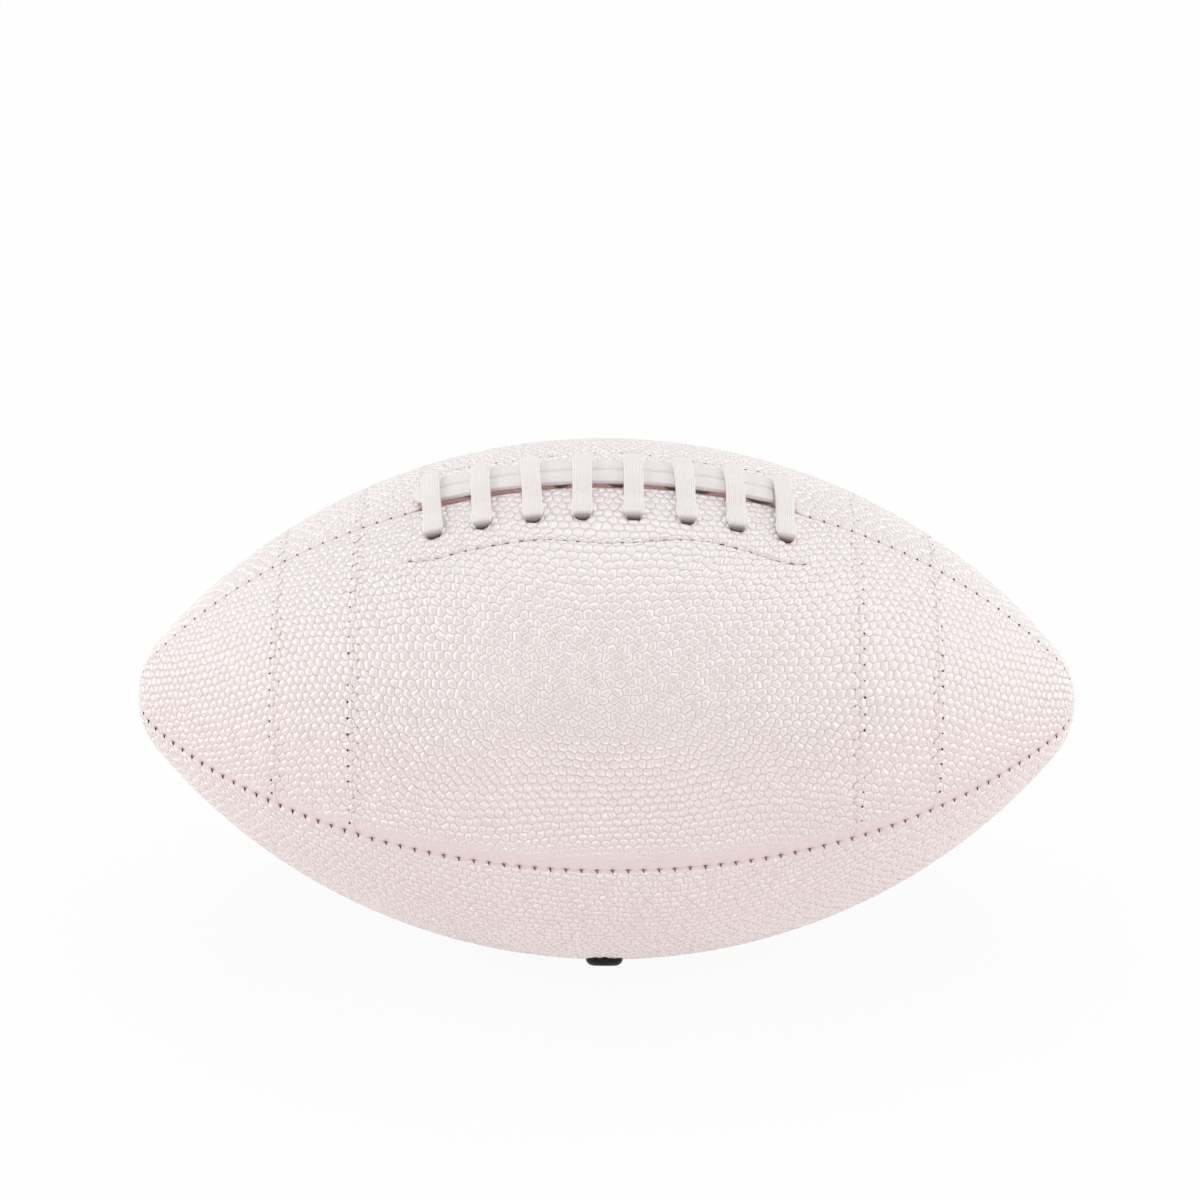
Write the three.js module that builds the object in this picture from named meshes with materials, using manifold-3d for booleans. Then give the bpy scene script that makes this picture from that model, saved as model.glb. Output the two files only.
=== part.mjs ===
// American football: a laced ball of four pebbled panels, lined with cloth, blown up by a rubber bladder.
// Millimetres, +Z up. The long axis runs along X, the laces are on top, -Y is the front, and the ball
// lies on the floor at z = 0 on the small flat that its own weight presses into the bottom seam.
import * as THREE from "three";
import { mergeVertices } from "three/addons/utils/BufferGeometryUtils.js";
import Module from "manifold-3d";

// Driving dimensions of the whole ball
const LENGTH = 280; // tip to tip
const DIAMETER = 155.4; // across the belly
const TIP_RADIUS = 25; // of each blunt end
const REST_FLAT = 0.5; // how far the belly is pressed in where the ball lies

// Layers, from the outside inwards, and the clearance between pieces that touch on the real ball
const CLEARANCE = 0.3;
const PANEL_THICKNESS = 2;
const LINING_THICKNESS = 0.9;
const BLADDER_THICKNESS = 1;
const TIP_OPENING = 1.5; // radius of the pinhole where the points of the panels meet

// Seams: the panels turn in to a groove, and the thread lies in it
const GROOVE_DEPTH = 1.6;
const GROOVE_WIDTH = 3; // on each side of the seam
const GROOVE_SHARE = 0.25; // most of a panel's width that one groove may take near the tips
const SEAM_THREAD = 0.7; // diameter
const SEAM_THREAD_DEPTH = 0.89; // of its middle, below the panels
const LINING_INSET = 1.2; // the lining stops this far from the seam

// Stripe bands, let into the two top panels and joined edge to edge by zigzag stitching
const STRIPE_FROM_TIP = 70; // along the surface, from the tip to the band
const STRIPE_WIDTH = 26.5;
const ZIGZAG_WIDTH = 3.2;
const ZIGZAG_PITCH = 4.6;
const ZIGZAG_THREAD = 0.6; // diameter
const ZIGZAG_INSET = 4; // from the seams to the first stitch

// Lacing: one flat lace through two rows of holes over the slit in the top seam
const LACE_WIDTH = 5.4;
const LACE_THICKNESS = 1.6;
const LACE_CROSSES = 8;
const LACE_PITCH = 14.45; // from cross to cross
const LACE_ROW = 13.3; // from the seam to each row of holes
const LACE_BEND = 1.3; // radius of the lace's middle where it turns into a hole
const LACE_TAIL = 9; // of the last end, tucked inside
const LACE_EDGE_SHARE = 0.7; // how far the lace's edges round off, in half thicknesses
const HOLE_CLEARANCE = 0.35;
const STRAND_GAP = 0.4; // between the two lengthwise runs, and around the tail of the first
const STRAND_INSET = 0.5; // from the seam to the front edge of the first lengthwise run
const HAIRPIN_PAST = 2.6; // how far the turn of the lengthwise runs reaches past the first cross
const CROSS_RAMP = 6.2; // over which a cross climbs on to the lengthwise runs
const SLIT_PAST = 3.2; // how far the slit runs past the middle of the last cross, at its whole width
const SLIT_TAPER = 3; // over which the slit closes at each end
const SLIT_FRONT = 0.9; // from the seam to the slit's front lip
const SLIT_BACK = 2.6; // from the seam to the slit's back lip

// Facings that back the lace holes, and the tongue under the slit
const FACING_PAST = 13.4; // how far the facings run past the last cross
const FACING_WIDTH = 23; // from the seam
const FACING_STITCH_INSET = 1; // from the facing's edge to its row of stitches
const FACING_CORNER = 9; // radius at the ends of the row of stitches
const FACING_THREAD = 0.6; // diameter
const TONGUE_PAST = 8;
const TONGUE_HALF_WIDTH = 17;

// Valve, in the middle of the bottom front panel
const VALVE_RADIUS = 5.5;
const VALVE_FACE_RADIUS = 3;
const VALVE_PROUD = 2.1; // of the panel
const VALVE_FLANGE_RADIUS = 9;
const VALVE_FLANGE_THICKNESS = 1.2;
const VALVE_DEPTH = 11; // from the panel to the inner end of the body
const VALVE_FACE_WALL = 2.6; // between the core and the outer face
const CORE_RADIUS = 2.7;
const CORE_PAST = 0.6; // the core stops this far short of the body's inner end
const NEEDLE_RADIUS = 1;
const NEEDLE_DIMPLE = 1.4; // depth of the cone in the core that guides the needle

// Fineness of the faceted surfaces
const BELLY_STEP = 22; // along the ball
const LACED_STEP = 12; // along the laced pieces
const TIP_STEP = 6;
const PANEL_STEPS = 8; // across a panel; a multiple of INNER_STEPS
const CENTRE_STEPS = 12; // across the laced pieces; a multiple of INNER_STEPS
const INNER_STEPS = 4; // across a lining, and across a quarter of the bladder
const ROUND_SIDES = 16; // around the valve
const SHOULDER_STEPS = 4; // up the valve's rounded shoulder
const THREAD_SIDES = 4;
const ZIGZAG_SIDES = 3;
const PATCH_STEP = 6; // across the facings and the tongue
const LACE_BEND_STEPS = 3; // in a quarter turn
const LACE_STEP = 9; // along the straight legs of the lace, which follow the ball

const QUARTER = Math.PI / 2;
const HALF_LENGTH = LENGTH / 2;
const RADIUS = DIAMETER / 2;

// The profile is one arc over the belly that runs on into a round tip at each end
const TIP_CENTRE = HALF_LENGTH - TIP_RADIUS;
const ARC_RADIUS = (TIP_CENTRE ** 2 + RADIUS ** 2 - TIP_RADIUS ** 2) / (2 * (RADIUS - TIP_RADIUS));
const BELLY_ANGLE = Math.atan2(TIP_CENTRE, ARC_RADIUS - RADIUS);
const BELLY_ARC = ARC_RADIUS * BELLY_ANGLE;
const TIP_ARC = BELLY_ARC + TIP_RADIUS * (QUARTER - BELLY_ANGLE);
const PANEL_END = BELLY_ARC + TIP_RADIUS * (Math.acos(TIP_OPENING / TIP_RADIUS) - BELLY_ANGLE);

// Depths of the layers below the outer surface
const LINING_DEPTH = PANEL_THICKNESS + CLEARANCE;
const LINING_FLOOR = LINING_DEPTH + LINING_THICKNESS;
const BLADDER_DEPTH = LINING_FLOOR + CLEARANCE;
const LACE_INSIDE = LINING_FLOOR + CLEARANCE + LACE_THICKNESS / 2;
const TONGUE_DEPTH = LACE_INSIDE + LACE_THICKNESS / 2 + CLEARANCE;
const TONGUE_FLOOR = TONGUE_DEPTH + LINING_THICKNESS;
const BLADDER_DENT = TONGUE_FLOOR + CLEARANCE;

// Places along and across the lacing, measured on the surface from the ball's middle and from the top seam
const LACE_HALF = ((LACE_CROSSES - 1) * LACE_PITCH) / 2;
const SLIT_HALF = LACE_HALF + SLIT_PAST;
const SLIT_END = SLIT_HALF + SLIT_TAPER;
const FACING_HALF = LACE_HALF + FACING_PAST;
const TONGUE_HALF = LACE_HALF + TONGUE_PAST;
const STRIPE_OUTER = TIP_ARC - STRIPE_FROM_TIP;
const STRIPE_INNER = STRIPE_OUTER - STRIPE_WIDTH;
const FIRST_RUN = -STRAND_INSET - LACE_WIDTH / 2;
const SECOND_RUN = FIRST_RUN - LACE_WIDTH - STRAND_GAP;

const wasm = await Module();
wasm.setup();

// A point of the profile at distance s along it from the middle, with the outward normal there
function profileAt(s) {
  const along = Math.min(Math.abs(s), BELLY_ARC);
  const angle = along / ARC_RADIUS + (Math.abs(s) - along) / TIP_RADIUS;
  const inTip = Math.abs(s) > BELLY_ARC;
  const radius = inTip ? TIP_RADIUS : ARC_RADIUS;
  const x = radius * Math.sin(angle) + (inTip ? TIP_CENTRE : 0);
  const r = radius * Math.cos(angle) - (inTip ? 0 : ARC_RADIUS - RADIUS);
  return { x: Math.sign(s) * x, r, nx: Math.sign(s) * Math.sin(angle), nr: Math.cos(angle) };
}

// The direction out from the long axis at an angle: 0 is the front, a quarter turn is the top
const outwards = (angle) => new THREE.Vector3(0, -Math.cos(angle), Math.sin(angle));

// A point over the outer surface, at a height above it
function pointAt(s, angle, height) {
  const { x, r, nx, nr } = profileAt(s);
  return outwards(angle)
    .multiplyScalar(r + height * nr)
    .setX(x + height * nx);
}

// The angle that lies an arc's length in front of the top seam
const angleInFront = (s, arc) => QUARTER - arc / profileAt(s).r;

// Directions at a place on the lacing: along the ball, towards the front, and out of the surface
function lacingFrame(s, arc) {
  const { nx, nr } = profileAt(s);
  const angle = angleInFront(s, arc);
  const out = outwards(angle);
  return {
    along: out.clone().multiplyScalar(-nx).setX(nr),
    front: new THREE.Vector3(0, -Math.sin(angle), -Math.cos(angle)),
    out: out.multiplyScalar(nr).setX(nx),
  };
}

// Even stations from one place to another, no further apart than the step
function stations(from, to, step) {
  const count = Math.max(1, Math.ceil((to - from) / step - 1e-6));
  return Array.from({ length: count + 1 }, (_, i) => from + ((to - from) * i) / count);
}

// Stations over a half of the ball, through its marks
function halfStations(marks, step) {
  return marks.slice(1).flatMap((mark, i) => {
    return stations(marks[i], mark, mark > BELLY_ARC ? TIP_STEP : step).slice(1);
  });
}

const bothWays = (half) => [...half.map((s) => -s).reverse(), 0, ...half];
const ascending = (...marks) => marks.sort((a, b) => a - b);

// The stations that the layers share, and closer ones for the laced pieces, which fit over and under the lace
const STATIONS = bothWays(
  halfStations(ascending(0, STRIPE_INNER, STRIPE_OUTER, BELLY_ARC, PANEL_END), BELLY_STEP),
);
const LACED_STATIONS = bothWays(
  halfStations(ascending(0, SLIT_HALF, SLIT_END, FACING_HALF, STRIPE_INNER), LACED_STEP),
);
const between = (list, from, to) => [from, ...list.filter((s) => s > from + 1 && s < to - 1), to];

// The seam threads stop at the last stations where the grooves have their whole width
const SEAM_END = Math.max(...STATIONS.filter((s) => profileAt(s).r * QUARTER * GROOVE_SHARE >= GROOVE_WIDTH));

// A geometry from points and faces of three or four corners, turned so that its faces point out
function closedGeometry(points, faces) {
  const triangles = faces.flatMap(([a, b, c, d]) => (d === undefined ? [[a, b, c]] : [[a, b, c], [a, c, d]]));
  const volume = triangles.reduce((sum, [a, b, c]) => {
    return sum + points[a].dot(new THREE.Vector3().crossVectors(points[b], points[c]));
  }, 0);
  const order = volume < 0 ? triangles.map(([a, b, c]) => [a, c, b]) : triangles;
  return new THREE.BufferGeometry().setFromPoints(points).setIndex(order.flat());
}

// A closed sheet between two grids of points
function sheet(outer, inner) {
  const rows = outer.length;
  const columns = outer[0].length;
  const corner = (layer, i, j) => (layer * rows + i) * columns + j;
  const faces = [];
  for (let i = 0; i + 1 < rows; i++) {
    for (let j = 0; j + 1 < columns; j++) {
      faces.push([corner(0, i, j), corner(0, i + 1, j), corner(0, i + 1, j + 1), corner(0, i, j + 1)]);
      faces.push([corner(1, i, j), corner(1, i, j + 1), corner(1, i + 1, j + 1), corner(1, i + 1, j)]);
    }
  }
  const rim = [];
  for (let i = 0; i + 1 < rows; i++) rim.push([i, 0]);
  for (let j = 0; j + 1 < columns; j++) rim.push([rows - 1, j]);
  for (let i = rows - 1; i > 0; i--) rim.push([i, columns - 1]);
  for (let j = columns - 1; j > 0; j--) rim.push([0, j]);
  rim.forEach((from, k) => {
    const to = rim[(k + 1) % rim.length];
    faces.push([corner(0, ...to), corner(0, ...from), corner(1, ...from), corner(1, ...to)]);
  });
  return closedGeometry([...outer.flat(), ...inner.flat()], faces);
}

// A closed bar through a row of equal rings of points
function bar(rings) {
  const sides = rings[0].length;
  const faces = [];
  for (let i = 0; i + 1 < rings.length; i++) {
    for (let j = 0; j < sides; j++) {
      const next = (j + 1) % sides;
      faces.push([i * sides + j, (i + 1) * sides + j, (i + 1) * sides + next, i * sides + next]);
    }
  }
  const last = (rings.length - 1) * sides;
  for (let j = 1; j + 1 < sides; j++) {
    faces.push([0, j, j + 1]);
    faces.push([last, last + j + 1, last + j]);
  }
  return closedGeometry(rings.flat(), faces);
}

// A round thread along points, each of which has the outward direction of the surface under it
function thread(places, diameter, sides) {
  const rings = places.map(({ point, out }, i) => {
    const before = places[Math.max(i - 1, 0)].point;
    const after = places[Math.min(i + 1, places.length - 1)].point;
    const ahead = after.clone().sub(before).normalize();
    const across = new THREE.Vector3().crossVectors(ahead, out).normalize();
    const up = new THREE.Vector3().crossVectors(across, ahead);
    return Array.from({ length: sides }, (_, k) => {
      const turn = ((k + 0.5) * 2 * Math.PI) / sides;
      return point
        .clone()
        .addScaledVector(across, (Math.cos(turn) * diameter) / 2)
        .addScaledVector(up, (Math.sin(turn) * diameter) / 2);
    });
  });
  return bar(rings);
}

// A place on or over the surface, for a thread
const placeAt = (s, angle, height) => ({ point: pointAt(s, angle, height), out: outwards(angle) });

// Booleans on closed geometries
function solidOf(geometry) {
  const bare = geometry.clone();
  bare.deleteAttribute("normal");
  bare.deleteAttribute("uv");
  const merged = mergeVertices(bare, 1e-4);
  return new wasm.Manifold(
    new wasm.Mesh({
      numProp: 3,
      vertProperties: new Float32Array(merged.attributes.position.array),
      triVerts: new Uint32Array(merged.index.array),
    }),
  );
}

function cut(geometry, cutters) {
  const solid = cutters.reduce((left, cutter) => left.subtract(solidOf(cutter)), solidOf(geometry));
  const mesh = solid.getMesh();
  return new THREE.BufferGeometry()
    .setAttribute("position", new THREE.BufferAttribute(mesh.vertProperties, mesh.numProp))
    .setIndex(new THREE.BufferAttribute(mesh.triVerts, 1));
}

// How far a panel's edge keeps from its seam: half the clearance, or the lip of the lacing slit
function edgeArc(lip, s) {
  const rest = CLEARANCE / 2;
  const into = Math.min(1, Math.max(0, (SLIT_END - Math.abs(s)) / SLIT_TAPER));
  return rest + (lip - rest) * into;
}

// The four panels, in quarter turns from the front, with the lips that the slit gives their edges
const PANELS = {
  top_front: { start: 0, startLip: CLEARANCE / 2, endLip: SLIT_FRONT, lacing: 1 },
  top_back: { start: QUARTER, startLip: SLIT_BACK, endLip: CLEARANCE / 2, lacing: -1 },
  bottom_back: { start: 2 * QUARTER, startLip: CLEARANCE / 2, endLip: CLEARANCE / 2 },
  bottom_front: { start: 3 * QUARTER, startLip: CLEARANCE / 2, endLip: CLEARANCE / 2 },
};

// A piece of a panel along some stations: the leather turns down into a groove along both seams
function panelPiece({ start, startLip, endLip }, rows, steps) {
  const outer = [];
  const inner = [];
  for (const s of rows) {
    const { r } = profileAt(s);
    const groove = Math.min(GROOVE_WIDTH, r * QUARTER * GROOVE_SHARE) / r;
    const grooveDepth = (GROOVE_DEPTH * groove * r) / GROOVE_WIDTH;
    const first = start + edgeArc(startLip, s) / r;
    const last = start + QUARTER - edgeArc(endLip, s) / r;
    const rim = [0, 1 / 3].map((share) => ({ into: share * groove, dip: grooveDepth * (1 - share) ** 2 }));
    const span = last - first - 2 * groove;
    const even = Array.from({ length: steps + 1 }, (_, k) => first + groove + (span * k) / steps);
    const columns = [
      ...rim.map(({ into, dip }) => ({ angle: first + into, dip })),
      ...even.map((angle) => ({ angle, dip: 0 })),
      ...rim.toReversed().map(({ into, dip }) => ({ angle: last - into, dip })),
    ];
    outer.push(columns.map(({ angle, dip }) => pointAt(s, angle, -dip)));
    inner.push(columns.map(({ angle }) => pointAt(s, angle, -PANEL_THICKNESS)));
  }
  return sheet(outer, inner);
}

// A patch of sheet on the lacing, between two distances in front of the top seam
function lacingPatch(halfLength, fromArc, toArc, depth, thickness = LINING_THICKNESS) {
  const arcs = stations(fromArc, toArc, PATCH_STEP);
  const rows = between(LACED_STATIONS, -halfLength, halfLength);
  const grid = (height) => rows.map((s) => arcs.map((arc) => pointAt(s, angleInFront(s, arc), height)));
  return sheet(grid(-depth), grid(-depth - thickness));
}

// The section of the lace, or of its hole: a flat bar with rounded edges
function laceSection(grow) {
  const wide = LACE_WIDTH / 2 + grow;
  const thick = LACE_THICKNESS / 2 + grow;
  const flat = wide - LACE_EDGE_SHARE * thick;
  return [
    [wide, 0],
    [flat, thick],
    [-flat, thick],
    [-wide, 0],
    [-flat, -thick],
    [flat, -thick],
  ];
}

const crossAt = (i) => i * LACE_PITCH - LACE_HALF;

// One lace hole, right through a panel and its facing
function laceHole(s, arc) {
  const { along, front } = lacingFrame(s, arc);
  const ring = (height) =>
    laceSection(HOLE_CLEARANCE).map(([wide, thick]) =>
      pointAt(s, angleInFront(s, arc), height).addScaledVector(along, wide).addScaledVector(front, thick),
    );
  return bar([ring(LACE_THICKNESS), ring(-LACE_INSIDE)]);
}

const laceHoles = (side) =>
  Array.from({ length: LACE_CROSSES }, (_, i) => laceHole(crossAt(i), side * LACE_ROW));

// The route of the lace: corners as [along the ball, in front of the seam, above the surface], each with
// the radius that rounds it and the way that the lace's width points on the leg that leaves it
function laceCorners() {
  const on = CLEARANCE + LACE_THICKNESS / 2;
  const over = on + LACE_THICKNESS + CLEARANCE;
  const last = crossAt(LACE_CROSSES - 1);
  const hairpin = crossAt(0) - HAIRPIN_PAST;
  const turn = (LACE_WIDTH + STRAND_GAP) / 2;
  const slit = (SLIT_FRONT - SLIT_BACK) / 2;
  const ACROSS = QUARTER;
  const corners = [
    { at: [last - LACE_WIDTH / 2 - STRAND_GAP, FIRST_RUN, on], radius: 0, width: ACROSS },
    { at: [hairpin, FIRST_RUN, on], radius: turn, width: 2 * QUARTER },
    { at: [hairpin, SECOND_RUN, on], radius: turn, width: 3 * QUARTER },
    { at: [last, SECOND_RUN, on], radius: turn, width: 4 * QUARTER },
    { at: [last, slit, on], radius: LACE_BEND, width: 4 * QUARTER },
    { at: [last, slit, -LACE_INSIDE], radius: LACE_BEND, width: 4 * QUARTER },
  ];
  for (let i = LACE_CROSSES - 1; i >= 0; i--) {
    const s = crossAt(i);
    const slant = i > 0 ? Math.atan2(LACE_PITCH, 2 * LACE_ROW) : 0;
    const ramp = slit + CROSS_RAMP;
    corners.push(
      { at: [s, LACE_ROW, -LACE_INSIDE], radius: LACE_BEND, width: 4 * QUARTER },
      { at: [s, LACE_ROW, on], radius: LACE_BEND, width: 4 * QUARTER },
      { at: [s, ramp, on], radius: CROSS_RAMP / 2, width: 4 * QUARTER },
      { at: [s, ramp - CROSS_RAMP, over], radius: CROSS_RAMP / 2, width: 4 * QUARTER },
      { at: [s, -LACE_ROW, over], radius: LACE_BEND, width: 4 * QUARTER },
      { at: [s, -LACE_ROW, -LACE_INSIDE], radius: LACE_BEND, width: 4 * QUARTER + slant },
    );
  }
  corners.push({ at: [crossAt(0), LACE_TAIL - LACE_ROW, -LACE_INSIDE], radius: 0, width: 4 * QUARTER });
  return corners.map(({ at, radius, width }) => ({ at: new THREE.Vector3(...at), radius, width }));
}

// The route with its corners rounded: places with the width's direction at each
function laceRoute() {
  const corners = laceCorners();
  const route = [];
  corners.forEach(({ at, radius, width }, i) => {
    if (radius === 0) {
      route.push({ at, width });
      return;
    }
    const arrive = at.clone().sub(corners[i - 1].at).normalize();
    const leave = corners[i + 1].at.clone().sub(at).normalize();
    const turn = arrive.angleTo(leave);
    const back = radius * Math.tan(turn / 2);
    const first = at.clone().addScaledVector(arrive, -back);
    const inward = leave.clone().addScaledVector(arrive, -arrive.dot(leave)).normalize();
    const earlier = corners[i - 1].width;
    const steps = Math.ceil((LACE_BEND_STEPS * turn) / QUARTER - 1e-6);
    for (let k = 0; k <= steps; k++) {
      const share = k / steps;
      const angle = turn * share;
      const place = first
        .clone()
        .addScaledVector(arrive, radius * Math.sin(angle))
        .addScaledVector(inward, radius * (1 - Math.cos(angle)));
      route.push({ at: place, width: earlier + (width - earlier) * share });
    }
  });
  return route.flatMap((place, i) => {
    if (i === 0) return [place];
    const before = route[i - 1];
    const count = Math.max(1, Math.ceil(place.at.distanceTo(before.at) / LACE_STEP));
    return Array.from({ length: count }, (_, k) => {
      const share = (k + 1) / count;
      return {
        at: before.at.clone().lerp(place.at, share),
        width: before.width + (place.width - before.width) * share,
      };
    });
  });
}

// The lace itself, swept along its route
function lace() {
  const places = laceRoute().map(({ at, width }) => {
    const { along, front } = lacingFrame(at.x, at.y);
    const wide = along.multiplyScalar(Math.cos(width)).addScaledVector(front, Math.sin(width));
    return { point: pointAt(at.x, angleInFront(at.x, at.y), at.z), wide };
  });
  const rings = places.map(({ point, wide }, i) => {
    const before = places[Math.max(i - 1, 0)].point;
    const after = places[Math.min(i + 1, places.length - 1)].point;
    const ahead = after.clone().sub(before).normalize();
    const thick = new THREE.Vector3().crossVectors(ahead, wide).normalize();
    const across = new THREE.Vector3().crossVectors(thick, ahead);
    return laceSection(0).map(([w, t]) => point.clone().addScaledVector(across, w).addScaledVector(thick, t));
  });
  return bar(rings);
}

// A lining: cloth behind a whole panel, cut away where a facing takes its place
function lining({ start, lacing }) {
  const outer = [];
  const inner = [];
  for (const s of STATIONS) {
    const { r } = profileAt(s);
    const inset = Math.min(LINING_INSET, r * QUARTER * GROOVE_SHARE) / r;
    const columns = Array.from({ length: INNER_STEPS + 1 }, (_, k) => {
      const share = k / INNER_STEPS;
      return start + inset + (QUARTER - 2 * inset) * share;
    });
    outer.push(columns.map((angle) => pointAt(s, angle, -LINING_DEPTH)));
    inner.push(columns.map((angle) => pointAt(s, angle, -LINING_FLOOR)));
  }
  const whole = sheet(outer, inner);
  if (!lacing) return whole;
  const reach = FACING_WIDTH + CLEARANCE;
  const room = lacingPatch(FACING_HALF + CLEARANCE, -reach, reach, 0, BLADDER_DENT);
  return cut(whole, [room]);
}

// The bladder: a closed skin, dented where the lace and the tongue press on it
function bladder() {
  const columns = 4 * INNER_STEPS;
  const reach = QUARTER / INNER_STEPS;
  const dentEnd = TONGUE_HALF + BELLY_STEP;
  const dented = (s, angle) => Math.abs(s) < dentEnd && Math.abs(angle - QUARTER) < 1.5 * reach;
  const skin = (extra) => {
    const points = [pointAt(-TIP_ARC, 0, -BLADDER_DEPTH - extra)];
    for (const s of STATIONS) {
      for (let k = 0; k < columns; k++) {
        const angle = (k * QUARTER) / INNER_STEPS;
        const depth = dented(s, angle) ? BLADDER_DENT : BLADDER_DEPTH;
        points.push(pointAt(s, angle, -depth - extra));
      }
    }
    points.push(pointAt(TIP_ARC, 0, -BLADDER_DEPTH - extra));
    const faces = [];
    const last = points.length - 1;
    for (let k = 0; k < columns; k++) {
      const next = (k + 1) % columns;
      faces.push([0, 1 + next, 1 + k]);
      for (let i = 0; i + 1 < STATIONS.length; i++) {
        const row = 1 + i * columns;
        faces.push([row + k, row + next, row + columns + next, row + columns + k]);
      }
      const row = 1 + (STATIONS.length - 1) * columns;
      faces.push([row + k, row + next, last]);
    }
    return closedGeometry(points, faces);
  };
  return cut(skin(0), [skin(BLADDER_THICKNESS), valveBore()]);
}

// The valve stands square on the middle of the bottom front panel
const VALVE_ANGLE = PANELS.bottom_front.start + QUARTER / 2;

function standOnValve(geometry) {
  const up = new THREE.Vector3(0, 1, 0);
  const turn = new THREE.Quaternion().setFromUnitVectors(up, outwards(VALVE_ANGLE));
  return geometry.applyQuaternion(turn).translate(...pointAt(0, VALVE_ANGLE, 0));
}

// A round piece of the valve, from its radii and heights above the panel
function valveRound(profile) {
  const points = profile.map(([r, h]) => new THREE.Vector2(r, h));
  const lathe = new THREE.LatheGeometry(points, ROUND_SIDES);
  lathe.deleteAttribute("normal");
  lathe.deleteAttribute("uv");
  const merged = mergeVertices(lathe, 1e-4);
  const corners = merged.attributes.position;
  const places = Array.from({ length: corners.count }, (_, i) => {
    return new THREE.Vector3().fromBufferAttribute(corners, i);
  });
  const faces = [];
  for (let i = 0; i < merged.index.count; i += 3) {
    const face = [0, 1, 2].map((k) => merged.index.getX(i + k));
    if (new Set(face).size === 3) faces.push(face);
  }
  return standOnValve(closedGeometry(places, faces));
}

const valveBore = () =>
  valveRound([
    [0, VALVE_DEPTH],
    [VALVE_RADIUS + CLEARANCE, VALVE_DEPTH],
    [VALVE_RADIUS + CLEARANCE, -VALVE_DEPTH],
    [0, -VALVE_DEPTH],
  ]);

function valveBody() {
  // The flat flange seats against the facets of the bladder, which fall away from the valve's middle
  const facetDrop = VALVE_FLANGE_RADIUS * Math.tan(QUARTER / INNER_STEPS / 2);
  const flange = -(BLADDER_DEPTH + BLADDER_THICKNESS + CLEARANCE + facetDrop);
  const shoulder = Array.from({ length: SHOULDER_STEPS + 1 }, (_, k) => {
    const angle = (QUARTER * k) / SHOULDER_STEPS;
    const reach = VALVE_RADIUS - VALVE_FACE_RADIUS;
    return [VALVE_FACE_RADIUS + reach * Math.sin(angle), VALVE_PROUD * Math.cos(angle)];
  });
  const bore = CORE_RADIUS + CLEARANCE;
  return valveRound([
    [NEEDLE_RADIUS, VALVE_PROUD],
    ...shoulder,
    [VALVE_RADIUS, flange],
    [VALVE_FLANGE_RADIUS, flange],
    [VALVE_FLANGE_RADIUS, flange - VALVE_FLANGE_THICKNESS],
    [VALVE_RADIUS, flange - VALVE_FLANGE_THICKNESS],
    [VALVE_RADIUS, -VALVE_DEPTH],
    [bore, -VALVE_DEPTH],
    [bore, VALVE_PROUD - VALVE_FACE_WALL],
    [NEEDLE_RADIUS, VALVE_PROUD - VALVE_FACE_WALL],
    [NEEDLE_RADIUS, VALVE_PROUD],
  ]);
}

function valveCore() {
  const top = VALVE_PROUD - VALVE_FACE_WALL - CLEARANCE;
  return valveRound([
    [0, top - NEEDLE_DIMPLE],
    [NEEDLE_RADIUS, top],
    [CORE_RADIUS, top],
    [CORE_RADIUS, CORE_PAST - VALVE_DEPTH],
    [0, CORE_PAST - VALVE_DEPTH],
  ]);
}

// The floor side of the ball, pressed flat
function floorCutter() {
  const block = new THREE.BoxGeometry(LENGTH, DIAMETER, RADIUS);
  return block.translate(0, 0, REST_FLAT - RADIUS - RADIUS / 2);
}

// The thread in the groove of a seam
function seamThread(angle, from, to) {
  const places = between(STATIONS, from, to).map((s) => placeAt(s, angle, -SEAM_THREAD_DEPTH));
  return thread(places, SEAM_THREAD, THREAD_SIDES);
}

// A zigzag row over the joint of a stripe band
function zigzag({ start }, joint) {
  const { r } = profileAt(joint);
  const inset = ZIGZAG_INSET / r;
  const count = Math.round(((QUARTER - 2 * inset) * r) / (ZIGZAG_PITCH / 2));
  const height = CLEARANCE + ZIGZAG_THREAD / 2;
  const places = Array.from({ length: count + 1 }, (_, k) => {
    const side = k % 2 ? ZIGZAG_WIDTH / 2 : -ZIGZAG_WIDTH / 2;
    return placeAt(joint + side, start + inset + ((QUARTER - 2 * inset) * k) / count, height);
  });
  return thread(places, ZIGZAG_THREAD, ZIGZAG_SIDES);
}

// The row of stitches that holds a facing, rounded in towards the seam at both ends
function facingStitch(side) {
  const row = FACING_WIDTH - FACING_STITCH_INSET;
  const end = FACING_HALF - FACING_STITCH_INSET;
  const corner = (sign) =>
    [0, 1, 2].map((k) => {
      const angle = (QUARTER * k) / 3;
      return [
        sign * (end - FACING_CORNER + FACING_CORNER * Math.cos(angle)),
        row - FACING_CORNER + FACING_CORNER * Math.sin(angle),
      ];
    });
  const straight = between(LACED_STATIONS, FACING_CORNER - end, end - FACING_CORNER).map((s) => [s, row]);
  const line = [...corner(-1), ...straight, ...corner(1).reverse()];
  const height = CLEARANCE + FACING_THREAD / 2;
  const places = line.map(([s, arc]) => placeAt(s, angleInFront(s, side * arc), height));
  return thread(places, FACING_THREAD, THREAD_SIDES);
}

// Finishes
const finish = (color, roughness) => new THREE.MeshStandardMaterial({ color, roughness, metalness: 0 });
const LEATHER = finish(0xf0e5e4, 0.5);
const CLOTH = finish(0xd9d3c9, 0.9);
const BUTYL = finish(0x1b1b1e, 0.6);
const VALVE_RUBBER = finish(0x121216, 0.5);
const LACE = finish(0xf1edea, 0.8);
const FACING = finish(0xd8a8a2, 0.85);
const THREAD = finish(0xe9e2e0, 0.8);

const ball = new THREE.Group();
ball.position.z = RADIUS - REST_FLAT;

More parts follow.
